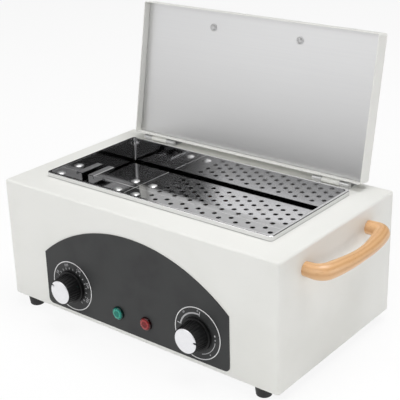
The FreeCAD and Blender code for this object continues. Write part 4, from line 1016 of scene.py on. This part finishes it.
@dataclass
class Dial:
    """One printed dial with its knob."""

    name: str
    pointer: float
    arcs: tuple[Arc, ...]
    ticks: tuple[Tick, ...]
    numbers: tuple[Number, ...]
    proud: float = 0.12 * MM
    print_smooth: float = 20.0
    text_steps: int = 3
    arc_step: float = 3.0
    skirt_height: float = 3.6 * MM
    skirt_round: float = 0.6 * MM
    bore: float = 16.0 * MM
    bore_depth: float = 2.6 * MM
    grip_radius: float = 15.6 * MM
    face_radius: float = 14.3 * MM
    face_round: float = 0.5 * MM
    seat_radius: float = 13.0 * MM
    seat_depth: float = 0.8 * MM
    flutes: int = 30
    flute_depth: float = 0.75 * MM
    flute_steps: int = 8
    cap_lip: float = 0.8 * MM
    cap_dish: float = 0.15 * MM
    notch_width: float = 2.2 * MM
    notch_length: float = 3.6 * MM
    cap_steps: int = 96
    cap_smooth: float = 25.0

    def centre(self) -> Vector:
        """Gives the dial's middle on the fascia's face."""
        low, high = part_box(f"{self.name}_knob")
        return Vector(((low.x + high.x) / 2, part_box("fascia_plate")[0].y, (low.z + high.z) / 2))

    def spot(self, clock: float, radius: float) -> Matrix:
        """Gives a place in the print, with Z outwards along the radius and Y into the plate."""
        middle = Matrix.Translation(self.centre() + Vector((0, -self.proud / 2, 0)))
        return middle @ rotation(clock, "Y") @ Matrix.Translation((0, 0, radius))

    def build(self) -> None:
        """Builds the print, the knob and its cap."""
        for ink in Ink:
            mesh = bmesh.new()
            for arc in (item for item in self.arcs if item.ink is ink):
                self.arc(mesh, arc)
            if ink is Ink.GREY:
                for tick in self.ticks:
                    made = bmesh.ops.create_cube(mesh, size=1.0)["verts"]
                    bmesh.ops.scale(mesh, verts=made, vec=(tick.width, self.proud, tick.length))
                    bmesh.ops.transform(mesh, verts=made, matrix=self.spot(tick.clock, tick.radius))
                for number in self.numbers:
                    self.number(mesh, number)
            bmesh.ops.recalc_face_normals(mesh, faces=mesh.faces)
            piece(f"{self.name}_{ink.value}_print", mesh, ink.value, "case",
                  smooth=self.print_smooth)
        self.knob()
        self.cap()

    def arc(self, mesh: Mesh, arc: Arc) -> None:
        """Adds one arc to the print.

        Args:
            mesh: The mesh of the print.
            arc: The arc.
        """
        made = bmesh.ops.create_grid(mesh, x_segments=1, y_segments=1, size=0.5)["verts"]
        edges = list({edge for vert in made for edge in vert.link_edges})
        faces = list({face for vert in made for face in vert.link_faces})
        bmesh.ops.delete(mesh, geom=faces, context="FACES_ONLY")
        bmesh.ops.scale(mesh, verts=made, vec=(arc.width, self.proud, 1))
        bmesh.ops.transform(mesh, verts=made, matrix=self.spot(arc.first, arc.radius) @ rotation(90, "Y"))
        sweep = arc.last - arc.first
        bmesh.ops.spin(mesh, geom=made + edges, cent=self.centre(), axis=(0, 1, 0), dvec=(0, 0, 0),
                       angle=math.radians(sweep), steps=round(sweep / self.arc_step),
                       use_merge=sweep == 360.0, use_duplicate=False)
        bmesh.ops.holes_fill(mesh, edges=[edge for edge in mesh.edges if edge.is_boundary], sides=4)

    def number(self, mesh: Mesh, number: Number) -> None:
        """Adds one number to the print.

        Args:
            mesh: The mesh of the print.
            number: The number.
        """
        curve = bpy.data.curves.new("number", "FONT")
        curve.body = number.text
        curve.size = number.size
        curve.align_x = "CENTER"
        curve.align_y = "CENTER"
        curve.extrude = self.proud / 2
        curve.resolution_u = self.text_steps
        holder = bpy.data.objects.new("number", curve)
        bpy.context.scene.collection.objects.link(holder)
        shape = bpy.data.meshes.new_from_object(holder.evaluated_get(bpy.context.evaluated_depsgraph_get()))
        bpy.data.objects.remove(holder)
        shape.transform(self.spot(number.clock, number.radius) @ rotation(90, "X"))
        mesh.from_mesh(shape)
        bpy.data.meshes.remove(shape)

    def knob(self) -> None:
        """Models the fluted black knob with its round skirt."""
        low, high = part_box(f"{self.name}_knob")
        tall = high.y - low.y
        skirt = (high.x - low.x) / 2
        profile = [(self.bore, -self.bore_depth), (self.bore, 0.0), (skirt, 0.0), (skirt, -self.skirt_height),
                   (self.grip_radius, -self.skirt_height), (self.face_radius, -tall),
                   (self.seat_radius, -tall), (self.seat_radius, self.seat_depth - tall),
                   (0.0, self.seat_depth - tall)]
        mesh = turn_profile(profile, self.flutes * self.flute_steps)
        inner = self.seat_radius + self.face_round
        rims = [edge for edge in sharp_edges(mesh)
                if all(vert.co.xz.length > self.bore or vert.co.y < self.bore_depth - tall
                       for vert in edge.verts)
                and all(vert.co.xz.length > inner for vert in edge.verts)]
        bevel(mesh, rims, self.skirt_round)
        grip = [vert for vert in mesh.verts if vert.co.y < -self.skirt_height - self.skirt_round / 2
                and vert.co.xz.length > inner]
        for vert in grip:
            turn = math.atan2(vert.co.x, vert.co.z) * self.flutes
            share = 1 - self.flute_depth * (1 + math.cos(turn)) / 2 / vert.co.xz.length
            vert.co = Vector((vert.co.x * share, vert.co.y, vert.co.z * share))
        self.turn(mesh, high.y)
        piece(f"{self.name}_knob_grip", mesh, "knob_plastic", f"{self.name}_dial", [f"{self.name}_knob"])

    def turn(self, mesh: Mesh, back: float) -> None:
        """Turns a piece to where the knob points and puts it on the shaft's line, its back at Y = back."""
        centre = self.centre()
        mesh.transform(Matrix.Translation((centre.x, back, centre.z)) @ rotation(self.pointer, "Y"))

    def cap(self) -> None:
        """Models the aluminium cap: a raised rim, a shallow dish, a centre mark and the pointer notch."""
        low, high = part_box(f"{self.name}_knob_cap")
        radius = self.seat_radius
        thick = high.y - low.y
        floor = self.cap_dish - thick
        lip, dish = self.cap_lip, self.cap_dish
        profile = [(0.0, 0.0), (radius, 0.0), (radius, dish * 2 - thick), (radius - lip / 2, -thick),
                   (radius - lip, -thick), (radius - lip * 1.5, floor), (lip, floor),
                   (lip / 2, floor + dish), (0.0, floor + dish)]
        mesh = turn_profile(profile, self.cap_steps)
        side = self.notch_width / 2
        for point, normal in (((side, 0, 0), (1, 0, 0)), ((-side, 0, 0), (1, 0, 0)),
                              ((0, 0, radius - self.notch_length), (0, 0, 1))):
            bmesh.ops.bisect_plane(mesh, geom=mesh.verts[:] + mesh.edges[:] + mesh.faces[:], dist=CUT,
                                   plane_co=point, plane_no=normal)
        gone = [item for item in mesh.faces if self.in_notch(item.calc_center_median())]
        bmesh.ops.delete(mesh, geom=gone, context="FACES")
        bmesh.ops.holes_fill(mesh, edges=[edge for edge in mesh.edges if edge.is_boundary], sides=0)
        bmesh.ops.recalc_face_normals(mesh, faces=mesh.faces)
        self.turn(mesh, high.y)
        finish = SpunAluminium(f"{self.name}_cap_face", tuple(self.centre()))
        FINISHES[finish.name] = finish.paint()
        piece(f"{self.name}_cap_disc", mesh, finish.name, f"{self.name}_dial", [f"{self.name}_knob_cap"],
              self.cap_smooth)

    def in_notch(self, point: Vector) -> bool:
        """Tells whether a point of the cap, before it is turned, lies in the pointer notch."""
        return abs(point.x) < self.notch_width / 2 and point.z > self.seat_radius - self.notch_length


@dataclass
class Fascia:
    """The printed plate with its dials and lamps."""

    ring: Arc = Arc(0.0, 360.0, 27.8 * MM, 0.9 * MM, Ink.WHITE)
    heat_pointer: float = -59.0
    tick_every: float = 15.0
    tick_first: float = -68.0
    tick_count: int = 15
    tick_radius: float = 20.2 * MM
    tick_length: float = 2.2 * MM
    tick_width: float = 0.8 * MM
    heats: tuple[tuple[str, float], ...] = (
        ("50", -63.0), ("100", -18.0), ("150", 27.0), ("200", 72.0), ("250", 117.0))
    heat_radius: float = 23.8 * MM
    time_pointer: float = 85.0
    time_arcs: tuple[Arc, ...] = (
        Arc(-78.0, 8.0, 21.5 * MM, 1.6 * MM), Arc(100.0, 167.0, 22.0 * MM, 0.7 * MM))
    time_ticks: tuple[Tick, ...] = (
        Tick(-78.0, 22.6 * MM, 5.6 * MM, 0.9 * MM), Tick(8.0, 22.4 * MM, 5.2 * MM, 0.9 * MM),
        Tick(80.0, 21.7 * MM, 1.4 * MM, 1.8 * MM), Tick(92.0, 21.8 * MM, 1.3 * MM, 1.3 * MM),
        Tick(141.0, 24.7 * MM, 1.3 * MM, 1.3 * MM))
    times: tuple[Number, ...] = (
        Number("60", -42.0, 25.0 * MM, 3.0 * MM), Number("0", 2.0, 24.8 * MM, 3.6 * MM))
    lamp_steps: int = 64
    lamp_stem: float = 4.3 * MM
    lamp_stem_length: float = 5.0 * MM
    dome_steps: int = 8
    dome_edge_share: float = 0.35
    dome_power: float = 0.55

    def build(self) -> None:
        """Dresses the plate and builds the dials and the lamps on it."""
        dress("fascia_print", "fascia_plate")
        self.thermostat()
        self.timer()
        for colour in ("green", "red"):
            self.lamp(colour)

    def thermostat(self) -> None:
        """Builds the left dial: even ticks and temperatures."""
        clocks = (self.tick_first + self.tick_every * index for index in range(self.tick_count))
        ticks = tuple(Tick(clock, self.tick_radius, self.tick_length, self.tick_width) for clock in clocks)
        numbers = tuple(Number(text, clock, self.heat_radius) for text, clock in self.heats)
        Dial("thermostat", self.heat_pointer, (self.ring,), ticks, numbers).build()

    def timer(self) -> None:
        """Builds the right dial: a hold arc on the left and a run-down arc on the right."""
        Dial("timer", self.time_pointer, (self.ring, *self.time_arcs), self.time_ticks, self.times).build()

    def lamp(self, colour: str) -> None:
        """Models a domed lens.

        Args:
            colour: Which lamp.
        """
        node = f"{colour}_lamp_lens"
        low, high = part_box(node)
        radius = (high.x - low.x) / 2
        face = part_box("fascia_plate")[0].y
        tall = face - low.y
        turns = [math.radians(90 * step / self.dome_steps) for step in range(self.dome_steps + 1)]
        edge = self.dome_edge_share
        dome = [(radius * max(math.cos(turn), 0.0) ** self.dome_power,
                 -tall * (edge + (1 - edge) * math.sin(turn))) for turn in turns]
        profile = [(0.0, self.lamp_stem_length), (self.lamp_stem, self.lamp_stem_length),
                   (self.lamp_stem, 0.0), (radius, 0.0), *dome]
        mesh = turn_profile(profile, self.lamp_steps)
        mesh.transform(Matrix.Translation(((low.x + high.x) / 2, face, (low.z + high.z) / 2)))
        piece(f"{colour}_lens_dome", mesh, f"{colour}_lens", "case", [node])


# Chamber, tray and lid
@dataclass
class Chamber:
    """The stainless tub with its lift-out tray."""

    def build(self) -> None:
        """Dresses the tub and the tray."""
        dress("mirror_steel", "chamber_liner", "tray_strap_left", "tray_strap_right")
        dress("tray_steel", "perforated_tray")


@dataclass
class Lid:
    """The hinged lid."""

    def build(self) -> None:
        """Dresses the lid's sheet metal and fittings."""
        dress("white_enamel", "lid_shell", "left_hinge_moving_leaf", "right_hinge_moving_leaf")
        dress("brushed_steel", "lid_panel")
        dress("polished_steel", "lid_handle_screws", "lid_handle_washers", "lid_hinge_rivets")


# Camera, floor and light
@dataclass(frozen=True)
class Softbox:
    """A soft oblong lamp that points at the object."""

    name: str
    place: tuple[float, float, float]
    width: float
    height: float
    power: float


@dataclass
class Studio:
    """The camera at the photograph's angle, a pale floor and soft light."""

    azimuth: float = 38.93
    elevation: float = 22.45
    roll: float = -1.5
    focal_pixels: float = 997.0
    image_pixels: float = 400.0
    sensor: float = 36.0
    place: tuple[float, float, float] = (0.62217, -0.7608, 0.53727)
    far: float = 100.0
    floor_size: float = 60.0
    floor_colour: Colour = srgb(250, 250, 250)
    floor_roughness: float = 0.9
    glow_share: float = 0.88
    world_level: float = 0.04
    aim: tuple[float, float, float] = (0.0, 0.0, 0.12)
    softboxes: tuple[Softbox, ...] = (
        Softbox("key", (-0.062, -1.788, 1.72), 3.8, 0.864, 29.0),
        Softbox("fill", (2.3, 0.3, 0.48), 2.0, 0.62, 12.5),
        Softbox("top", (0.3, 0.3, 2.4), 1.5, 1.5, 40.0),
        Softbox("front_middle_band", (-0.073, -2.096, 1.287), 3.24, 0.21, 3.4),
        Softbox("front_low_band", (-0.078, -2.237, 0.649), 3.37, 1.087, 4.8),
        Softbox("left_low_band", (-1.684, -1.684, 0.41), 2.24, 0.59, 2.8),
        Softbox("back_band", (-1.15, 1.45, 1.95), 1.4, 0.8, 4.0),
    )

    def build(self) -> None:
        """Builds the camera, the floor, the world and the lamps."""
        self.camera()
        self.floor()
        self.world()
        for softbox in self.softboxes:
            self.hang(softbox)
        bpy.context.scene.view_settings.view_transform = "Standard"

    def camera(self) -> None:
        """Sets the camera as fitted to the photograph."""
        azimuth, elevation, roll = (math.radians(item) for item in (self.azimuth, self.elevation, self.roll))
        back = Vector((math.sin(azimuth) * math.cos(elevation), -math.cos(azimuth) * math.cos(elevation),
                       math.sin(elevation)))
        level = Vector((math.cos(azimuth), math.sin(azimuth), 0))
        upright = back.cross(level)
        right = level * math.cos(roll) + upright * math.sin(roll)
        up = upright * math.cos(roll) - level * math.sin(roll)
        data = bpy.data.cameras.new("camera")
        data.sensor_width = self.sensor
        data.lens = self.sensor * self.focal_pixels / self.image_pixels
        data.clip_end = self.far
        camera = bpy.data.objects.new("camera", data)
        camera.matrix_world = Matrix.Translation(self.place) @ Matrix((right, up, back)).transposed().to_4x4()
        bpy.context.scene.collection.objects.link(camera)
        bpy.context.scene.camera = camera

    def floor(self) -> None:
        """Lays a pale floor that is white to the eye and in metal and glass, and keeps the shadow."""
        mesh = bmesh.new()
        bmesh.ops.create_grid(mesh, x_segments=1, y_segments=1, size=self.floor_size / 2)
        data = bpy.data.meshes.new("floor")
        mesh.to_mesh(data)
        mesh.free()
        floor = bpy.data.objects.new("floor", data)
        bpy.context.scene.collection.objects.link(floor)
        paint = Paint("floor")
        paint.shade(Base_Color=self.floor_colour, Roughness=self.floor_roughness)
        eye, gloss, glass = (paint.node("ShaderNodeLightPath", {}, {}, name)
                             for name in ("Is Camera Ray", "Is Glossy Ray", "Is Transmission Ray"))
        glow = paint.node("ShaderNodeEmission", {}, {"Color": (1.0, 1.0, 1.0), "Strength": 1.0})
        plain = Value(paint, paint.shader.outputs[0])
        shown = paint.node("ShaderNodeMixShader", {},
                           {0: eye.larger(gloss).larger(glass) * self.glow_share, 1: plain, 2: glow})
        paint.feed(paint.tree.nodes["Material Output"].inputs["Surface"], shown)
        data.materials.append(paint.material)

    def world(self) -> None:
        """Sets a dim even world, so that the softboxes carry the light."""
        world = bpy.data.worlds.new("studio")
        world.use_nodes = True
        even = world.node_tree.nodes["Background"]
        even.inputs["Color"].default_value = (1.0, 1.0, 1.0, 1.0)
        even.inputs["Strength"].default_value = self.world_level
        bpy.context.scene.world = world

    def hang(self, softbox: Softbox) -> None:
        """Hangs one softbox.

        Args:
            softbox: The softbox.
        """
        data = bpy.data.lights.new(softbox.name, "AREA")
        data.shape = "RECTANGLE"
        data.size, data.size_y = softbox.width, softbox.height
        data.energy = softbox.power
        lamp = bpy.data.objects.new(softbox.name, data)
        lamp.location = softbox.place
        lamp.rotation_euler = (Vector(self.aim) - Vector(softbox.place)).to_track_quat("-Z", "Y").to_euler()
        bpy.context.scene.collection.objects.link(lamp)


def main() -> None:
    """Builds the finishes, the pieces and the studio."""
    logging.basicConfig(level=logging.INFO, format="%(message)s")
    mix_palette()
    for assembly in (Studio(), Case(), Bow(), Fascia(), Chamber(), Lid()):
        assembly.build()


if __name__ == "__main__":
    main()
